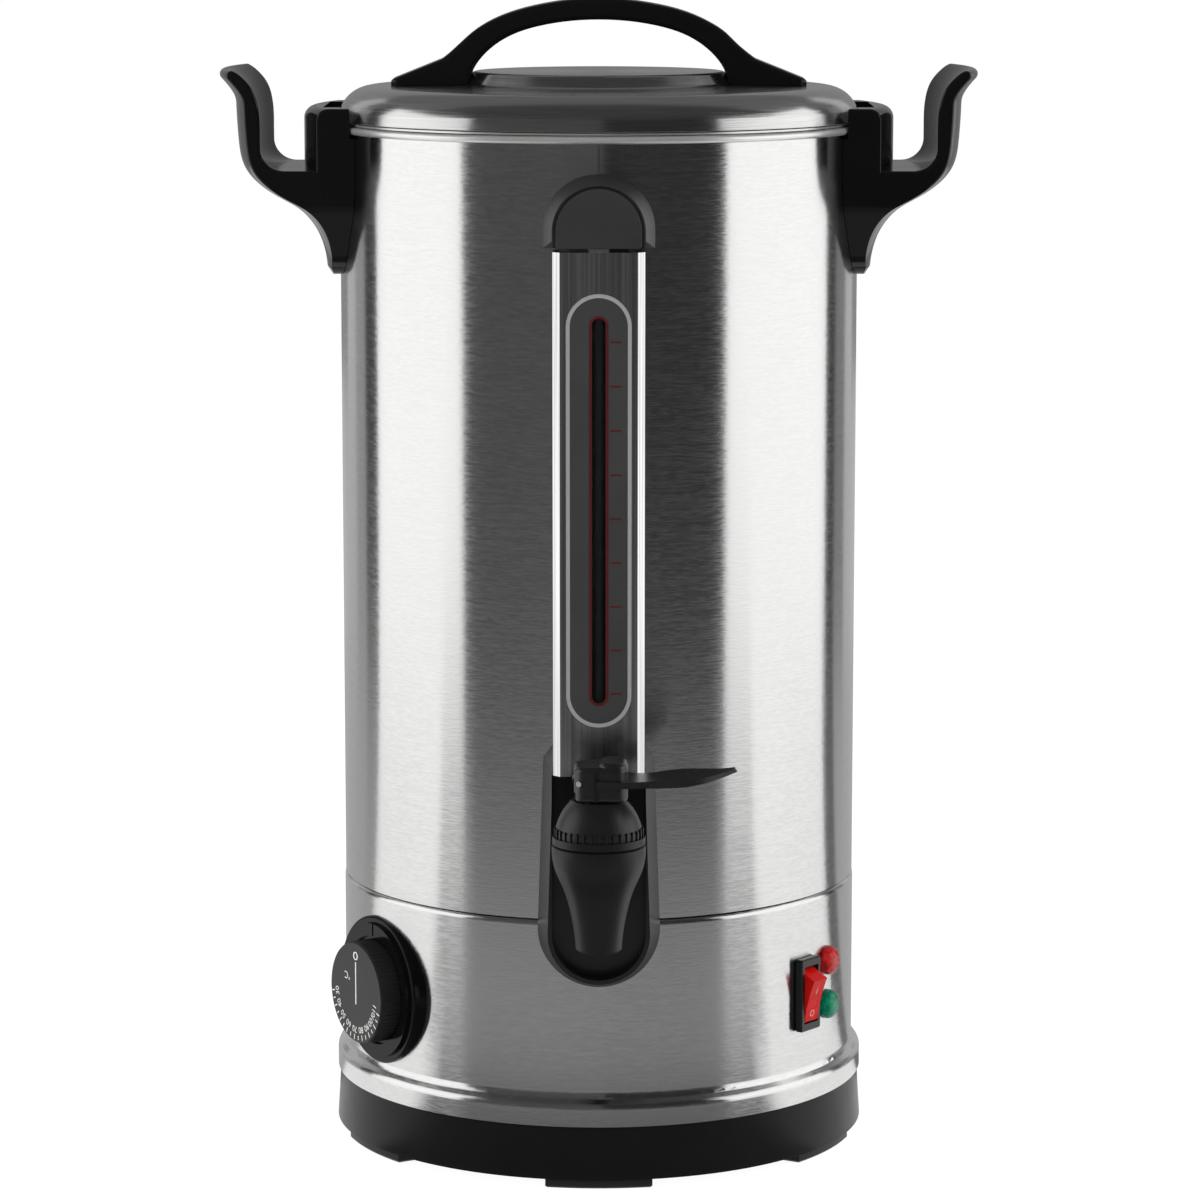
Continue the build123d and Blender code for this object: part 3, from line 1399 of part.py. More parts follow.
# ================================================================ lid
# Lid: a drawn dome with a beaded edge, a rounded shoulder and a raised flat plateau.
lid_bottom = rim_top + lid_gap
lid_line = lid_edge - sheet / 2
half_sheet = sheet / 2
with BuildPart() as lid_shell:
    with BuildSketch(Plane.XZ):
        with BuildLine():
            FilletPolyline(
                (lid_line, lid_bottom + half_sheet),
                (lid_line - shoulder_inset, lid_shoulder_height - half_sheet),
                (plateau_radius + plateau_foot, lid_crown - half_sheet),
                (plateau_radius - half_sheet, plateau_top - half_sheet),
                (0, plateau_top - half_sheet),
                radius=[lid_shoulder, 2.4, 1.4],
            )
        trace(line_width=sheet)
    revolve(axis=Axis.Z)
    with Locations((-lid_screw_offset, 0, lid_crown), (lid_screw_offset, 0, lid_crown)):
        Cylinder(lid_screw + 0.2, 10, mode=Mode.SUBTRACT)
finish(lid_shell, "lid_shell")

# Locating ring: rests on the pot's rim and drops just inside the pot.
ring_line = pot_inner - ring_gap - half_sheet
ring_seat = rim_top + 0.3 + half_sheet
with BuildPart() as lid_ring:
    with BuildSketch(Plane.XZ):
        with BuildLine():
            FilletPolyline(
                (ring_line, rim_top - ring_depth),
                (ring_line, ring_seat),
                (lid_line - 1.7, ring_seat),
                radius=[1.0],
            )
        trace(line_width=sheet)
    revolve(axis=Axis.Z)
finish(lid_ring, "lid_ring")

# Lid handle: an arch on two long feet, cut to the dome that it stands on.
crown_width = lid_line - shoulder_inset - plateau_radius - plateau_foot
lid_slope = (lid_crown - lid_shoulder_height) / crown_width
foot_top = lid_crown - lid_slope * (foot_end - plateau_radius) + foot_thick
lid_at_screw = lid_crown - lid_slope * (lid_screw_offset - plateau_radius)


def above_the_foot(edge):
    """True for an edge of the arch or of a foot's top."""
    return edge.center().Z > foot_top


with BuildPart() as lid_handle:
    with BuildSketch(Plane.XZ):
        with BuildLine():
            Line((-foot_end, foot_top - 0.8), (-arch_foot, foot_top + arch_foot_rise))
            Spline(
                (-arch_foot, foot_top + arch_foot_rise),
                (-arch_half + 0.6, plateau_top + 17.0),
                (-0.75 * arch_half, arch_inner + 2.0),
                (-0.4 * arch_half, arch_inner + arch_thick - 2.2),
                (0, arch_inner + arch_thick),
                (0.4 * arch_half, arch_inner + arch_thick - 2.2),
                (0.75 * arch_half, arch_inner + 2.0),
                (arch_half - 0.6, plateau_top + 17.0),
                (arch_foot, foot_top + arch_foot_rise),
                tangents=[(1, 0.72), (1, -0.72)],
            )
            Polyline(
                (arch_foot, foot_top + arch_foot_rise),
                (foot_end, foot_top - 0.8),
                (foot_end, lid_shoulder_height - 6),
                (arch_half, lid_shoulder_height - 6),
                (arch_half, plateau_top),
            )
            Spline(
                (arch_half, plateau_top),
                (0.89 * arch_half, plateau_top + 8.0),
                (0.69 * arch_half, plateau_top + 15.4),
                (0.46 * arch_half, arch_inner - 2.6),
                (0, arch_inner),
                (-0.46 * arch_half, arch_inner - 2.6),
                (-0.69 * arch_half, plateau_top + 15.4),
                (-0.89 * arch_half, plateau_top + 8.0),
                (-arch_half, plateau_top),
            )
            Polyline(
                (-arch_half, plateau_top),
                (-arch_half, lid_shoulder_height - 6),
                (-foot_end, lid_shoulder_height - 6),
                (-foot_end, foot_top - 0.8),
            )
        make_face()
    extrude(amount=lid_handle_half, both=True)
    with BuildSketch(Plane.XY.offset(lid_shoulder_height - 10)):
        RectangleRounded(2 * foot_end, 2 * lid_handle_half, 4.0)
    extrude(amount=60, mode=Mode.INTERSECT)
    # The dome under the feet.
    with BuildSketch(Plane.XZ):
        with BuildLine():
            FilletPolyline(
                (0, lid_shoulder_height - 20),
                (lid_edge, lid_shoulder_height - 20),
                (lid_edge - shoulder_inset, lid_shoulder_height + 0.1),
                (plateau_radius + plateau_foot + 0.3, lid_crown + 0.1),
                (plateau_radius, plateau_top + 0.1),
                (0, plateau_top + 0.1),
                radius=[1.0, lid_shoulder, 2.2, 1.6],
            )
            Line((0, plateau_top + 0.1), (0, lid_shoulder_height - 20))
        make_face()
    revolve(axis=Axis.Z, mode=Mode.SUBTRACT)
    sides = lid_handle.faces().filter_by(Axis.Y).group_by(Axis.Y)
    fillet((sides[0] + sides[-1]).edges().filter_by(above_the_foot), radius=lid_handle_round)
    with Locations((-lid_screw_offset, 0, lid_at_screw - 4), (lid_screw_offset, 0, lid_at_screw - 4)):
        Cylinder(lid_screw + 0.05, lid_screw_bite + 4.2, mode=Mode.SUBTRACT,
                 align=(Align.CENTER, Align.CENTER, Align.MIN))
finish(lid_handle, "lid_handle")

# Lid handle screws, from inside the lid.
with BuildPart() as lid_handle_screws:
    with Locations((-lid_screw_offset, 0, lid_at_screw - 1.4), (lid_screw_offset, 0, lid_at_screw - 1.4)):
        Cylinder(2 * lid_screw, 2.0, align=(Align.CENTER, Align.CENTER, Align.MAX))
        Cylinder(lid_screw, lid_screw_bite + 1.4, align=(Align.CENTER, Align.CENTER, Align.MIN))
finish(lid_handle_screws, "lid_handle_screws")
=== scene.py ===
import bpy
import bmesh
from math import cos, pi, radians, sin
from mathutils import Matrix, Vector


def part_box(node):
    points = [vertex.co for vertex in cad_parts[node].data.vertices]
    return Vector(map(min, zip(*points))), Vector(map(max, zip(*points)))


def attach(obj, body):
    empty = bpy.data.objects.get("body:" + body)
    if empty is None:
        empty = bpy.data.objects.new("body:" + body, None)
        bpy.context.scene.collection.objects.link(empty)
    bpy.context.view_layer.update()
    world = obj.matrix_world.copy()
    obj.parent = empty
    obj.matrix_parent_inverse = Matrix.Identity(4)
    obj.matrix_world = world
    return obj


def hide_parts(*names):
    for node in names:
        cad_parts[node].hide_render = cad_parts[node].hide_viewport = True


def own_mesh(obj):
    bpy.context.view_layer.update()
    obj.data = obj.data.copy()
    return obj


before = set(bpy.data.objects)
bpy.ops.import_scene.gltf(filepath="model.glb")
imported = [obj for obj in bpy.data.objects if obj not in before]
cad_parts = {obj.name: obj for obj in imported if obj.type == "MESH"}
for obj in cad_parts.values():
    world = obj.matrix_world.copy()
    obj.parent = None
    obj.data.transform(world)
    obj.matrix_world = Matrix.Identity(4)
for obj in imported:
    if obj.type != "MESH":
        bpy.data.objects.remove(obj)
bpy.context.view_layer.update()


# The studio: a camera tipped slightly down, a white sweep, a tall soft box on each side, and
# dark cards in front, overhead and on the table, which only the mirrors of the steel see.
def as_object(name, bm, finish):
    """Turns a bmesh into an object with one material."""
    mesh = bpy.data.meshes.new(name)
    bm.to_mesh(mesh)
    bm.free()
    mesh.materials.append(finish)
    made = bpy.data.objects.new(name, mesh)
    bpy.context.scene.collection.objects.link(made)
    return made


def seen_as(tree, for_eye, otherwise):
    """One strength for rays from the camera, mirrors and glass, and another for the rest."""
    path = tree.nodes.new("ShaderNodeLightPath")
    seen = path.outputs["Is Camera Ray"]
    for ray in ("Is Glossy Ray", "Is Transmission Ray"):
        either = tree.nodes.new("ShaderNodeMath")
        either.operation = "MAXIMUM"
        tree.links.new(seen, either.inputs[0])
        tree.links.new(path.outputs[ray], either.inputs[1])
        seen = either.outputs[0]
    strength = tree.nodes.new("ShaderNodeMapRange")
    strength.inputs["To Min"].default_value = otherwise
    strength.inputs["To Max"].default_value = for_eye
    tree.links.new(seen, strength.inputs["Value"])
    return strength.outputs[0]


def glow(name, radiance):
    """A plain emitter."""
    paint = bpy.data.materials.new(name)
    paint.use_nodes = True
    tree = paint.node_tree
    tree.nodes.clear()
    light = tree.nodes.new("ShaderNodeEmission")
    light.inputs["Strength"].default_value = radiance
    output = tree.nodes.new("ShaderNodeOutputMaterial")
    tree.links.new(light.outputs[0], output.inputs["Surface"])
    return paint


def mirror_only(card):
    """Keeps a card out of every ray but a mirror's."""
    card.visible_camera = False
    card.visible_diffuse = False
    card.visible_shadow = False
    card.visible_transmission = False


def arc_card(name, first, last, near, far, bottom, top, radiance):
    """Sweeps a line round the object between two azimuths: upright, or lying if near < far."""
    bm = bmesh.new()
    turn = Matrix.Rotation(radians(first), 4, "Z")
    low = bm.verts.new(turn @ Vector((0, -near, bottom)))
    high = bm.verts.new(turn @ Vector((0, -far, top)))
    edge = bm.edges.new((low, high))
    bmesh.ops.spin(bm, geom=[low, high, edge], cent=(0, 0, 0), axis=(0, 0, 1),
                   angle=radians(last - first), steps=24)
    mirror_only(as_object(name, bm, glow(name, radiance)))


eye_pitch = radians(8.95)
eye_place = (0.0005, -1.930, 0.5357)
camera = bpy.data.cameras.new("camera")
camera.lens = 134.47
camera.sensor_width = 36.0
camera_object = bpy.data.objects.new("camera", camera)
camera_object.location = eye_place
camera_object.rotation_euler = (pi / 2 - eye_pitch, 0, 0)
bpy.context.scene.collection.objects.link(camera_object)
bpy.context.scene.camera = camera_object
bpy.context.scene.view_settings.view_transform = "Standard"

sky_white = 1.0
sky_light = 0.42
world = bpy.data.worlds.new("studio")
bpy.context.scene.world = world
world.use_nodes = True
sky = world.node_tree.nodes["Background"]
sky.inputs["Color"].default_value = (1, 1, 1, 1)
world.node_tree.links.new(seen_as(world.node_tree, sky_white, sky_light), sky.inputs["Strength"])

box_reach = 1.3
box_foot = -0.02
card_reach = 0.95
card_foot = 0.0
card_top = 1.25
dusk_top = 0.9
back_step = 0.2
table = 0.002
foot_ring = 0.12
near_ring = 0.26
far_ring = 0.62
ceiling_hole = 0.02
ceiling_reach = 2.4
ceiling = card_top - 0.01
# Each row: name, first and last azimuth, near and far radius, bottom and top, and radiance.
for card_row in (
        ("front_left", -58.5, 2, card_reach, card_reach, card_foot, card_top, 0.085),
        ("front_right", 2, 54, card_reach, card_reach, card_foot, card_top, 0.03),
        ("left_box", -112, -60.5, box_reach, box_reach, box_foot, card_top, 1.42),
        ("right_box", 56, 117, box_reach, box_reach, box_foot, card_top, 1.42),
        ("left_gap", -123, -112, box_reach, box_reach, card_foot, card_top, 0.05),
        ("right_gap", 117, 126, box_reach, box_reach, card_foot, card_top, 0.05),
        ("left_dusk", -134, -123, box_reach, box_reach, card_foot, dusk_top, 0.36),
        ("right_dusk", 126, 138, box_reach, box_reach, card_foot, dusk_top, 0.24),
        ("back_low", 138, 226, box_reach, box_reach, card_foot, back_step, 0.52),
        ("back_high", 150, 214, box_reach, box_reach, back_step, card_top, 0.26),
        ("back_right", 138, 150, box_reach, box_reach, back_step, card_top, 0.55),
        ("back_left", 214, 226, box_reach, box_reach, back_step, card_top, 0.55),
        ("table_near", -60, 58, foot_ring, near_ring, table, table, 0.13),
        ("table_middle", -54, 50, near_ring, far_ring, table, table, 0.38),
        ("table_far", -54, 50, far_ring, card_reach, table, table, 0.23),
        ("table_left_edge", -70, -54, near_ring, card_reach, table, table, 0.42),
        ("table_right_edge", 50, 68, near_ring, card_reach, table, table, 0.45),
        ("table_back", 126, 237, foot_ring, box_reach, table, table, 0.45),
        ("table_left", -123, -112, foot_ring, box_reach, table, table, 0.42),
        ("table_right", 115, 126, foot_ring, box_reach, table, table, 0.16),
        ("front_ceiling", -90, 90, ceiling_hole, ceiling_reach, ceiling, ceiling, 0.06)):
    arc_card(*card_row)
top_card = bmesh.new()
bmesh.ops.create_circle(top_card, cap_ends=True, radius=ceiling_reach, segments=48,
                        matrix=Matrix.Translation((0, 0, card_top)))
mirror_only(as_object("top_card", top_card, glow("top_card", 0.15)))

floor_grey = (0.62, 0.62, 0.62, 1)
floor_glow = 1.19
floor_share = 0.8
floor_radius = 6.0
floor_paint = bpy.data.materials.new("floor")
floor_paint.use_nodes = True
floor_tree = floor_paint.node_tree
floor_tree.nodes.clear()
floor_matt = floor_tree.nodes.new("ShaderNodeBsdfDiffuse")
floor_matt.inputs["Color"].default_value = floor_grey
floor_white = floor_tree.nodes.new("ShaderNodeEmission")
floor_white.inputs["Strength"].default_value = floor_glow
floor_mix = floor_tree.nodes.new("ShaderNodeMixShader")
floor_tree.links.new(seen_as(floor_tree, floor_share, 0.0), floor_mix.inputs[0])
floor_tree.links.new(floor_matt.outputs[0], floor_mix.inputs[1])
floor_tree.links.new(floor_white.outputs[0], floor_mix.inputs[2])
floor_output = floor_tree.nodes.new("ShaderNodeOutputMaterial")
floor_tree.links.new(floor_mix.outputs[0], floor_output.inputs["Surface"])
sweep = bmesh.new()
bmesh.ops.create_circle(sweep, cap_ends=True, radius=floor_radius, segments=64)
as_object("floor", sweep, floor_paint)


def soft_lamp(name, place, aim_height, size, power):
    """Hangs one square area lamp at a place and turns it to a height above the middle."""
    lamp = bpy.data.lights.new(name, "AREA")
    lamp.size = size
    lamp.energy = power
    lamp_object = bpy.data.objects.new(name, lamp)
    lamp_object.location = place
    lamp_object.rotation_mode = "QUATERNION"
    aim = Vector((0, 0, aim_height)) - Vector(place)
    lamp_object.rotation_quaternion = aim.to_track_quat("-Z", "Y")
    lamp_object.visible_camera = False
    lamp_object.visible_glossy = False
    bpy.context.scene.collection.objects.link(lamp_object)


# Each row: name, place, the height that it is turned to, size and power.
for lamp_row in (("left_lamp", (-1.35, -0.5, 0.75), 0.25, 1.0, 11.0),
                 ("right_lamp", (1.35, -0.5, 0.75), 0.25, 1.0, 11.0),
                 ("front_lamp", (0, -2.1, 1.1), 0.25, 1.2, 16.0),
                 ("back_lamp", (0, 1.9, 1.2), 0.3, 1.2, 14.0),
                 ("top_lamp", (0, -0.1, 2.0), 0.4, 0.9, 9.0)):
    soft_lamp(*lamp_row)


# The drum and the lower shell: stainless sheet, rolled into a tube, welded in front above the
# gauge and brushed round the drum. The lower shell is clamped under the drum by the tie rods.
class Wire:
    """One socket of a material. Arithmetic between wires and numbers adds Math nodes."""

    def __init__(self, tree, socket):
        self.tree = tree
        self.socket = socket

    def node(self, kind, settings, sockets, out=0):
        """Adds a node: its settings first, then the values or wires of its sockets."""
        made = self.tree.nodes.new(kind)
        for key, value in settings.items():
            setattr(made, key, value)
        for key, value in sockets.items():
            if isinstance(value, Wire):
                self.tree.links.new(value.socket, made.inputs[key])
            else:
                made.inputs[key].default_value = value
        return Wire(self.tree, made.outputs[out])

    def math(self, operation, first, second=0.0):
        """One Math node."""
        return self.node("ShaderNodeMath", {"operation": operation}, {0: first, 1: second})

    def __add__(self, other):
        return self.math("ADD", self, other)

    def __sub__(self, other):
        return self.math("SUBTRACT", self, other)

    def __rsub__(self, other):
        return self.math("SUBTRACT", other, self)

    def __mul__(self, other):
        return self.math("MULTIPLY", self, other)

    def axis(self, index):
        """One coordinate of a place."""
        return self.node("ShaderNodeSeparateXYZ", {}, {0: self}, out=index)

    def blend(self, start, end):
        """A colour between two, by this mask."""
        return self.node("ShaderNodeMix", {"data_type": "RGBA"}, {0: self, 6: start, 7: end},
                         out=2)

    def rise(self, start, end):
        """Goes from 0 to 1, smoothly, as this value goes from start to end."""
        return self.node("ShaderNodeMapRange", {"interpolation_type": "SMOOTHSTEP"},
                         {"Value": self, "From Min": start, "From Max": end})

    def bump(self, shader, strength, depth):
        """Uses this value as the height of a shader's bump."""
        self.node("ShaderNodeBump", {}, {
            "Strength": strength, "Distance": depth, "Height": self}).into(shader, "Normal")

    def into(self, shader, name):
        """Links this value to one socket of a shader."""
        self.tree.links.new(self.socket, shader.inputs[name])


def finish_of(name, colour, metallic, roughness):
    """A new material: its Principled shader and a wire with the place on the object."""
    material = bpy.data.materials.new(name)
    material.use_nodes = True
    tree = material.node_tree
    shader = tree.nodes["Principled BSDF"]
    shader.inputs["Base Color"].default_value = (*colour, 1)
    shader.inputs["Metallic"].default_value = metallic
    shader.inputs["Roughness"].default_value = roughness
    place = Wire(tree, tree.nodes.new("ShaderNodeTexCoord").outputs["Object"])
    return material, shader, place


def grain(place, scale, detail=2.0, stretch=(1, 1, 1)):
    """Noise on the object's own coordinates, stretched along its axes."""
    stretched = place.node("ShaderNodeMapping", {}, {"Vector": place, "Scale": stretch})
    return place.node("ShaderNodeTexNoise", {}, {
        "Vector": stretched, "Scale": scale, "Detail": detail})


def shade_of(colour, factor):
    """A colour made darker or lighter."""
    return (*(part * factor for part in colour), 1)


def dress(finish, *names):
    """Puts a finish on CAD nodes."""
    for name in names:
        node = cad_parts[name]
        node.data.materials.clear()
        node.data.materials.append(finish)
        for face in node.data.polygons:
            face.material_index = 0


def brushed(name, colour, roughness, fine_stretch, broad_stretch, pull=0.9, tooth=0.03,
            contrast=0.07, ringed=False):
    """Stainless sheet with fine scratches along one way, some darker and some lighter.

    The scratches of a ringed sheet follow circles: its stretch is for radius, turn and height.
    """
    finish, shader, place = finish_of(name, colour, metallic=1.0, roughness=roughness)
    field = place
    if ringed:
        level = place.node("ShaderNodeMapping", {}, {"Vector": place, "Scale": (1, 1, 0)})
        radius = place.node("ShaderNodeVectorMath", {"operation": "LENGTH"}, {0: level}, out=1)
        field = place.node("ShaderNodeCombineXYZ", {}, {
            0: radius, 1: place.axis(0) + place.axis(1) * 0.6, 2: place.axis(2)})
    fine = grain(field, scale=1.0, detail=1.0, stretch=fine_stretch)
    broad = grain(field, scale=1.0, detail=3.0, stretch=broad_stretch)
    smudge = grain(place, scale=14.0, detail=3.0)
    streak = (fine * 0.6 + broad * 0.4).rise(0.32, 0.68)
    tone = streak * 0.8 + smudge * 0.2
    sheet = tone.blend(shade_of(colour, 1 - contrast), shade_of(colour, 1 + contrast))
    sheet.into(shader, "Base Color")
    (streak * 0.06 + smudge * 0.04 + roughness - 0.05).into(shader, "Roughness")
    streak.bump(shader, strength=tooth, depth=0.0001)
    shader.inputs["Anisotropic"].default_value = pull
    shader.inputs["Anisotropic Rotation"].default_value = 0.25
    return finish, shader, place, sheet


drum_colour = (0.655, 0.655, 0.65)
drum_steel, drum_shader, drum_place, drum_sheet = brushed(
    "drum_steel", drum_colour, roughness=0.20, fine_stretch=(240.0, 240.0, 1500.0),
    broad_stretch=(60.0, 60.0, 700.0), tooth=0.12, contrast=0.05)
weld_half = 0.0007
weld_foot = (0.405, 0.41)
weld_back = (-0.09, -0.08)
weld_colour = (0.25, 0.25, 0.25, 1)
weld_cover = 0.45
beside_weld = drum_place.math("ABSOLUTE", drum_place.axis(0))
weld = (1 - beside_weld.rise(weld_half * 0.4, weld_half)) * drum_place.axis(2).rise(*weld_foot)
weld = weld * (1 - drum_place.axis(1).rise(*weld_back))
(weld * weld_cover).blend(drum_sheet, weld_colour).into(drum_shader, "Base Color")
dress(drum_steel, "upper_shell", "lower_shell")


# The inner pot and the lid's locating ring: deep-drawn stainless sheet with a satin skin, which
# scatters some light as a matt surface does. The ring is welded under the lid.
pot_colour = (0.68, 0.68, 0.67)
pot_steel, pot_shader = brushed(
    "pot_steel", pot_colour, roughness=0.3, fine_stretch=(1300.0, 12.0, 1300.0),
    broad_stretch=(400.0, 5.0, 400.0), pull=0.4, tooth=0.001, contrast=0.06, ringed=True)[:2]
pot_shader.inputs["Metallic"].default_value = 0.75
dress(pot_steel, "inner_pot", "lid_ring")


# The lid: stainless sheet pressed to a shoulder, a flat crown and a raised plateau, and brushed
# in rings while it turns.
lid_colour = (0.6, 0.6, 0.595)
lid_steel = brushed(
    "lid_steel", lid_colour, roughness=0.19, fine_stretch=(1500.0, 60.0, 1500.0),
    broad_stretch=(450.0, 18.0, 450.0), pull=0.7, tooth=0.08, contrast=0.08, ringed=True)[0]
dress(lid_steel, "lid_shell")


# The side handles: black phenolic hand grips, moulded hollow and polished, with a fine orange
# peel on the gloss. Two screws from inside hold each one.
def moulded(name, colour, roughness, skin, tooth, shine=0.5):
    """Moulded plastic: a fine skin texture, uneven gloss and slightly uneven colour."""
    finish, shader, place = finish_of(name, colour, metallic=0.0, roughness=roughness)
    cloud = grain(place, scale=45.0, detail=3.0)
    cloud.blend(shade_of(colour, 0.82), shade_of(colour, 1.18)).into(shader, "Base Color")
    (cloud * 0.12 + roughness - 0.06).into(shader, "Roughness")
    grain(place, scale=skin).bump(shader, strength=tooth, depth=0.0001)
    shader.inputs["Specular IOR Level"].default_value = shine
    return finish


gloss_black = moulded("gloss_black", (0.004, 0.004, 0.004), roughness=0.12, skin=260.0,
                      tooth=0.05, shine=0.28)
dress(gloss_black, "handle_left", "handle_right")


# The lid's handle: one arch of the same phenolic, a little duller where hands hold it. Two
# screws from under the lid hold it.
lid_black = moulded("lid_black", (0.004, 0.004, 0.004), roughness=0.2, skin=320.0,
                    tooth=0.06, shine=0.26)
dress(lid_black, "lid_handle")


# The base: a satin black moulded skirt with six feet, pigmented all through. The lower shell
# stands on its rim.
base_black = moulded("base_black", (0.006, 0.006, 0.006), roughness=0.32, skin=900.0,
                     tooth=0.12, shine=0.16)
dress(base_black, "base_skirt")


# Bottom plate, tie rods, nuts and screws: zinc-plated steel with the plating's faint bloom.
# The rods hang from the heater plate and pull the base and the lower shell up to the pot.
plated, plated_shader, plated_place = finish_of(
    "plated_steel", (0.55, 0.55, 0.53), metallic=1.0, roughness=0.35)
bloom = grain(plated_place, scale=180.0, detail=4.0)
bloom.blend((0.42, 0.42, 0.41, 1), (0.66, 0.66, 0.63, 1)).into(plated_shader, "Base Color")
(bloom * 0.2 + 0.25).into(plated_shader, "Roughness")
dress(plated, "base_plate", "base_screws", "tie_studs", "tie_nuts", "handle_screws",
      "lid_handle_screws")


# The sight gauge's housing: stainless sheet folded over the tube, brushed upright. The cap
# closes its top, and its lower end stands in the tap's surround.
channel_colour = (0.66, 0.66, 0.655)
channel_steel, channel_shader = brushed(
    "channel_steel", channel_colour, roughness=0.24, fine_stretch=(1100.0, 1100.0, 7.0),
    broad_stretch=(330.0, 330.0, 3.0), pull=0.5, contrast=0.3)[:2]
channel_shader.inputs["Anisotropic Rotation"].default_value = 0.0
dress(channel_steel, "sight_housing")


# The label behind the housing's window: grey sheet with a slot, printed with a light line
# round its edge, a dark red line round the slot and nine level marks.
label_grey = moulded("label_grey", (0.034, 0.034, 0.034), roughness=0.5, skin=700.0, tooth=0.08)
dress(label_grey, "sight_label")
print_rise = 0.00006


def ink(name, colour):
    """Screen-printed ink: nearly flat, with the screen's slight unevenness."""
    finish, shader, place = finish_of(name, colour, metallic=0.0, roughness=0.45)
    cover = grain(place, scale=1400.0)
    cover.blend(shade_of(colour, 0.8), shade_of(colour, 1.1)).into(shader, "Base Color")
    return finish


def obround(bm, half_width, half_length):
    """A circle pulled apart to a loop of edges with two round ends, in the local XY plane."""
    ring = bmesh.ops.create_circle(bm, radius=half_width, segments=54)["verts"]
    for end in (1, -1):
        bmesh.ops.translate(bm, verts=[corner for corner in ring if corner.co.y * end > 0],
                            vec=(0, end * (half_length - half_width), 0))
    return [edge for edge in bm.edges if edge.verts[0] in ring]


def raised(bm, height):
    """Gives flat faces a thickness along local Z."""
    flat = bmesh.ops.extrude_face_region(bm, geom=bm.faces[:])
    lifted = [item for item in flat["geom"] if isinstance(item, bmesh.types.BMVert)]
    bmesh.ops.translate(bm, verts=lifted, vec=(0, 0, height))
    bmesh.ops.recalc_face_normals(bm, faces=bm.faces[:])


def line_round(name, half_width, half_length, line, place, finish):
    """A printed line round an obround."""
    bm = bmesh.new()
    outer = obround(bm, half_width, half_length)
    inner = obround(bm, half_width - line, half_length - line)
    bmesh.ops.bridge_loops(bm, edges=outer + inner)
    raised(bm, print_rise)
    bm.transform(place)
    return as_object(name, bm, finish)


def wall_place(azimuth, out, height):
    """Local X to the right, Y up and Z outward, on a wall round the upright axis."""
    turn = radians(azimuth)
    right = Vector((cos(turn), sin(turn), 0))
    outward = Vector((sin(turn), -cos(turn), 0))
    place = Matrix((right, Vector((0, 0, 1)), outward)).transposed().to_4x4()
    place.translation = outward * out + Vector((0, 0, height))
    return place


label_low, label_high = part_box("sight_label")
label_middle = (label_low.z + label_high.z) / 2
label_place = wall_place(azimuth=0, out=-label_low.y, height=label_middle)
pale_ink = ink("pale_ink", (0.27, 0.27, 0.265))
red_ink = ink("red_ink", (0.070, 0.002, 0.002))
edge_line = line_round("label_edge_line", half_width=0.0134, half_length=0.0889, line=0.0016,
                       place=label_place, finish=pale_ink)
slot_line = line_round("label_slot_line", half_width=0.00395, half_length=0.0800, line=0.0011,
                       place=label_place, finish=red_ink)
mark_count = 9
lowest_mark = 0.2125
mark_step = 0.01804
mark_beside = 0.00695
mark_length = 0.0045
mark_line = 0.0007
ticks = bmesh.new()
for level in range(mark_count):
    height = lowest_mark + mark_step * level - label_middle
    bmesh.ops.create_grid(ticks, x_segments=1, y_segments=1, size=0.5, matrix=(
        Matrix.Translation((mark_beside, height, 0))
        @ Matrix.Diagonal((mark_length, mark_line, 1, 1))))
raised(ticks, print_rise)
ticks.transform(label_place)
level_marks = as_object("label_ticks", ticks, red_ink)
for print_piece in (edge_line, slot_line, level_marks):
    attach(print_piece, "urn")


# The gauge's tube: smoky see-through plastic, drawn with faint lengthwise lines. Its two ends
# sit in the seals.
clear_tube, tube_shader, tube_place = finish_of(
    "clear_tube", (0.2, 0.2, 0.2), metallic=0.0, roughness=0.05)
tube_shader.inputs["Transmission Weight"].default_value = 0.95
tube_shader.inputs["IOR"].default_value = 1.2
drawn = grain(tube_place, scale=1.0, stretch=(900, 900, 20))
(drawn * 0.06 + 0.02).into(tube_shader, "Roughness")
dress(clear_tube, "sight_tube")


# The silicone seals of the gauge and the tap, the gauge's moulded elbow with its nut, and the
# tap's nut inside the pot: pale rubber and grey nylon.
silicone = moulded("silicone", (0.5, 0.5, 0.48), roughness=0.55, skin=500.0, tooth=0.12)
dress(silicone, "sight_seals", "tap_seal", "tap_gasket")
fitting_grey = moulded("fitting_grey", (0.12, 0.12, 0.12), roughness=0.4, skin=700.0, tooth=0.1)
dress(fitting_grey, "sight_elbow", "sight_elbow_nut", "tap_nut")


# The gauge's cap: a satin dark grey moulded bezel round a black plug, pressed over the
# housing's top.
cap_grey = moulded("cap_grey", (0.017, 0.017, 0.017), roughness=0.42, skin=1100.0, tooth=0.25,
                   shine=1.0)
dress(cap_grey, "sight_cap_bezel")
plug_black = moulded("plug_black", (0.024, 0.024, 0.024), roughness=0.5, skin=900.0, tooth=0.14)
dress(plug_black, "sight_cap_plug")


# The tap's surround: a moulded tray with a satin rim and a dark floor behind the tap. The
# tap's shank passes through it into the wall.
trim_black = moulded("trim_black", (0.005, 0.005, 0.005), roughness=0.34, skin=900.0, tooth=0.14)
dress(trim_black, "tap_surround")


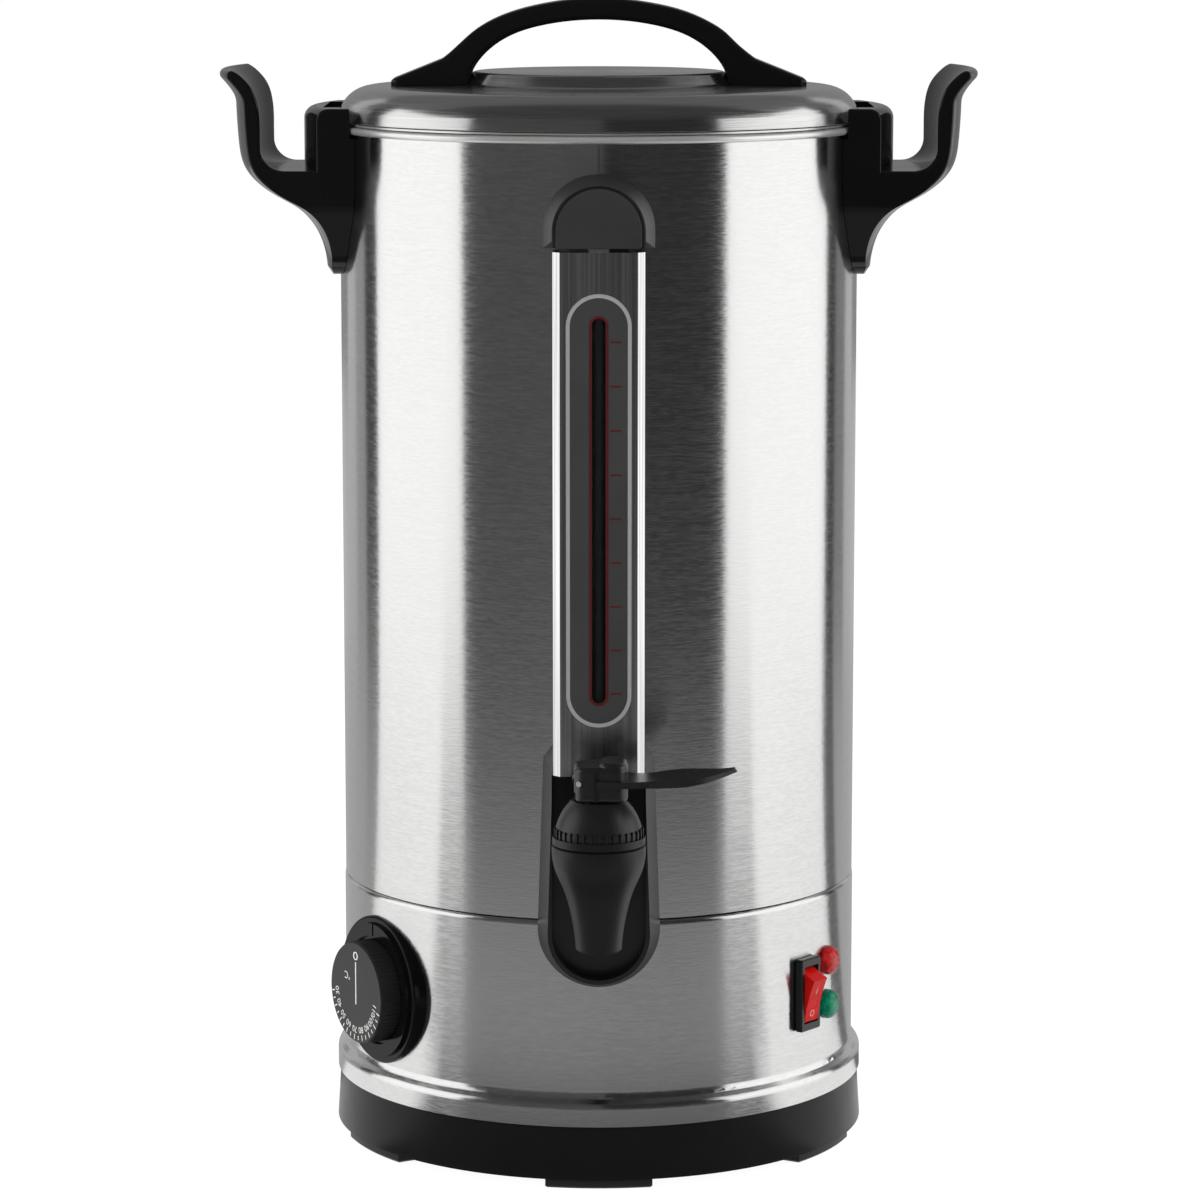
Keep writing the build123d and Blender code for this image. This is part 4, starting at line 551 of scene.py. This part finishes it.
# The tap: moulded in glass-filled nylon, with a fine grained skin that is coarser on the dome
# and smoother on the lever and the hub that it is pinned to.
tap_black = moulded("tap_black", (0.005, 0.005, 0.005), roughness=0.4, skin=1500.0, tooth=0.35,
                    shine=0.35)
dress(tap_black, "tap_body", "tap_nozzle", "tap_stem")
lever_black = moulded("lever_black", (0.007, 0.007, 0.007), roughness=0.3, skin=1300.0,
                      tooth=0.2, shine=0.6)
dress(lever_black, "tap_lever", "tap_hub")
dome_black = moulded("dome_black", (0.006, 0.006, 0.006), roughness=0.4, skin=950.0, tooth=0.75)
dress(dome_black, "tap_bonnet")


# The tap's pin and spring, and the thermostat's spindle and bulb: bright drawn steel. The
# spring is a wire coil under the bonnet; the real one shortens as the stem rises, but this coil
# keeps one length.
pin_steel, pin_shader, pin_place = finish_of(
    "pin_steel", (0.62, 0.62, 0.61), metallic=0.7, roughness=0.5)
drawn_wire = grain(pin_place, scale=700.0, detail=3.0)
(drawn_wire * 0.2 + 0.4).into(pin_shader, "Roughness")
drawn_wire.blend((0.52, 0.52, 0.51, 1), (0.7, 0.7, 0.69, 1)).into(pin_shader, "Base Color")
dress(pin_steel, "tap_pin", "thermostat_spindle", "thermostat_bulb")
spring_low, spring_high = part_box("tap_spring")
wire_radius = 0.0006
coil_turns = 4
coil_steps = 32 * coil_turns
coil_middle = (spring_low + spring_high) / 2
coil_radius = (spring_high.x - spring_low.x) / 2 - wire_radius
coil_rise = spring_high.z - spring_low.z - 2 * wire_radius
coil_start = (coil_middle.x + coil_radius, coil_middle.y, spring_low.z + wire_radius)
coil = bmesh.new()
bmesh.ops.create_circle(coil, segments=10, radius=wire_radius, matrix=(
    Matrix.Translation(coil_start) @ Matrix.Rotation(pi / 2, 4, "X")))
bmesh.ops.spin(coil, geom=coil.verts[:] + coil.edges[:], cent=coil_middle, axis=(0, 0, 1),
               dvec=(0, 0, coil_rise / coil_steps), angle=2 * pi * coil_turns, steps=coil_steps)
bmesh.ops.holes_fill(coil, edges=[edge for edge in coil.edges if edge.is_boundary], sides=0)
bmesh.ops.recalc_face_normals(coil, faces=coil.faces[:])
for face in coil.faces:
    face.smooth = len(face.verts) == 4
spring_coil = as_object("spring_coil", coil, pin_steel)
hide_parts("tap_spring")
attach(spring_coil, "urn")
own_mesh(spring_coil)


# The thermostat's dial: a glossy moulded bezel fixed to the shell, and a matt ribbed knob
# pushed on the thermostat's spindle.
bezel_black = moulded("bezel_black", (0.004, 0.004, 0.004), roughness=0.13, skin=500.0,
                      tooth=0.05, shine=0.12)
dress(bezel_black, "dial_bezel")
knob_black = moulded("knob_black", (0.012, 0.012, 0.012), roughness=0.5, skin=1100.0, tooth=0.2)
dress(knob_black, "dial_knob")


# The knob's print: 0 with a line down past the middle, the unit beside it, and 30 to 110 in
# tens along the lower rim, read with their tops outward, with a rim tick every five degrees.
def lettering(bm, text, size, place):
    """Adds one line of raised text, centred on its place, to a bmesh."""
    curve = bpy.data.curves.new(text, "FONT")
    curve.body = text
    curve.size = size
    curve.align_x = "CENTER"
    curve.align_y = "CENTER"
    curve.extrude = print_rise / 2
    curve.resolution_u = 4
    shaped = bpy.data.objects.new(text, curve)
    bpy.context.scene.collection.objects.link(shaped)
    bpy.context.view_layer.update()
    mesh = bpy.data.meshes.new_from_object(
        shaped.evaluated_get(bpy.context.evaluated_depsgraph_get()))
    mesh.transform(place)
    bm.from_mesh(mesh)
    bpy.data.objects.remove(shaped)
    bpy.data.meshes.remove(mesh)


def bar(bm, width, length, place):
    """Adds one printed bar, its length along local Y, to a bmesh."""
    bmesh.ops.create_cube(bm, size=1.0, matrix=(
        place @ Matrix.Diagonal((width, length, print_rise, 1))))


def shifted(right, up):
    """A shift across a printed face."""
    return Matrix.Translation((right, up, 0))


white_ink = ink("white_ink", (0.8, 0.8, 0.78))
knob_middle = wall_place(azimuth=-57.5, out=0.1230, height=0.0725)
zero_height = 0.0158
zero_stretch = Matrix.Diagonal((1.75, 1, 1, 1))
line_height = 0.0041
unit_place = shifted(-0.0072, 0.0064) @ Matrix.Rotation(pi, 4, "Z")
number_radius = 0.0160
tick_radius = 0.0196
first_angle = 98.0
angle_step = 9.7
tick_count = 17
dial_print = bmesh.new()
lettering(dial_print, "0", size=0.0052,
          place=knob_middle @ shifted(0, zero_height) @ zero_stretch)
bar(dial_print, width=0.0008, length=0.0184, place=knob_middle @ shifted(0, line_height))
lettering(dial_print, "°C", size=0.0046, place=knob_middle @ unit_place)
for index in range(tick_count):
    turned = knob_middle @ Matrix.Rotation(radians(first_angle + angle_step * index), 4, "Z")
    tens = index % 2 == 0
    if tens:
        lettering(dial_print, str(30 + 5 * index), size=0.0040,
                  place=turned @ shifted(0, number_radius))
    bar(dial_print, width=0.00055, length=0.0024 if tens else 0.0018,
        place=turned @ shifted(0, tick_radius))
dial_marks = as_object("dial_marks", dial_print, white_ink)
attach(dial_marks, "dial")


# The switch: a black moulded frame snapped into the shell, and a red see-through rocker with I
# and O printed on its dished face.
switch_black = moulded("switch_black", (0.006, 0.006, 0.006), roughness=0.32, skin=900.0,
                       tooth=0.15)
dress(switch_black, "switch_housing")
rocker_red, rocker_shader, rocker_place = finish_of(
    "rocker_red", (0.5, 0.008, 0.007), metallic=0.0, roughness=0.3)
tint = grain(rocker_place, scale=160.0)
tint.blend((0.38, 0.004, 0.004, 1), (0.62, 0.012, 0.010, 1)).into(rocker_shader, "Base Color")
(tint * 0.1 + 0.22).into(rocker_shader, "Roughness")
rocker_shader.inputs["Subsurface Weight"].default_value = 0.25
rocker_shader.inputs["Subsurface Radius"].default_value = (0.004, 0.0004, 0.0004)
rocker_shader.inputs["Specular IOR Level"].default_value = 0.08
dress(rocker_red, "switch_rocker")
rocker_tilt = Matrix.Rotation(radians(15.0), 4, "X")
pivot_place = wall_place(azimuth=52.0, out=0.1086, height=0.0730) @ rocker_tilt
face_middle = 0.0083
face_dish = 0.0007
face_half = 0.0096
sign_size = 0.0042
rocker_print = bmesh.new()
for sign, along in (("O", -0.0064), ("I", 0.0040)):
    face_out = face_middle + face_dish * (along / face_half) ** 2
    face_slope = 2 * face_dish * along / face_half ** 2
    lettering(rocker_print, sign, sign_size,
              pivot_place @ Matrix.Translation((0, along, face_out))
              @ Matrix.Rotation(face_slope, 4, "X"))
pink_ink = ink("pale_pink_ink", (0.75, 0.35, 0.33))
rocker_marks = as_object("rocker_marks", rocker_print, pink_ink)
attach(rocker_marks, "rocker")


# The two lamps: clear coloured lenses with fine facets inside, one red and one green, each
# snapped into its hole in the shell.
def lens(name, dark, light):
    """A faceted tinted lens under a smooth coat."""
    finish, shader, place = finish_of(name, light, metallic=0.0, roughness=0.14)
    facets = place.node("ShaderNodeTexVoronoi", {"distance": "CHEBYCHEV"},
                        {"Vector": place, "Scale": 620.0})
    facets.rise(0.1, 0.8).blend((*light, 1), (*dark, 1)).into(shader, "Base Color")
    facets.bump(shader, strength=0.15, depth=0.0003)
    shader.inputs["Specular IOR Level"].default_value = 0.2
    shader.inputs["Coat Weight"].default_value = 0.15
    shader.inputs["Coat Roughness"].default_value = 0.05
    return finish


lens_red = lens("lens_red", dark=(0.24, 0.006, 0.006), light=(0.46, 0.020, 0.018))
dress(lens_red, "lamp_red")
lens_green = lens("lens_green", dark=(0.001, 0.105, 0.052), light=(0.003, 0.20, 0.105))
dress(lens_green, "lamp_green")


# The heater under the pot: a cast aluminium plate with a sheathed steel element in its groove,
# darkened by its heat.
cast, cast_shader, cast_place = finish_of(
    "heater_aluminium", (0.6, 0.6, 0.6), metallic=1.0, roughness=0.5)
cast_skin = grain(cast_place, scale=380.0, detail=4.0)
cast_skin.blend((0.45, 0.45, 0.45, 1), (0.68, 0.68, 0.68, 1)).into(cast_shader, "Base Color")
cast_skin.bump(cast_shader, strength=0.4, depth=0.0002)
dress(cast, "heater_plate")
sheath, sheath_shader, sheath_place = finish_of(
    "sheath_steel", (0.25, 0.24, 0.22), metallic=1.0, roughness=0.4)
heat = grain(sheath_place, scale=60.0, detail=3.0)
heat.blend((0.14, 0.12, 0.11, 1), (0.36, 0.34, 0.31, 1)).into(sheath_shader, "Base Color")
dress(sheath, "heating_element")


# Thermostat, safety cut-out and terminal block: cream moulded device bodies. The cable gland
# is black nylon, screwed into the back of the shell.
device_cream = moulded("device_cream", (0.55, 0.5, 0.4), roughness=0.45, skin=600.0, tooth=0.12)
dress(device_cream, "thermostat", "safety_cutout", "terminal_block")
gland_black = moulded("gland_black", (0.015, 0.015, 0.015), roughness=0.42, skin=900.0,
                      tooth=0.16)
dress(gland_black, "cable_gland")
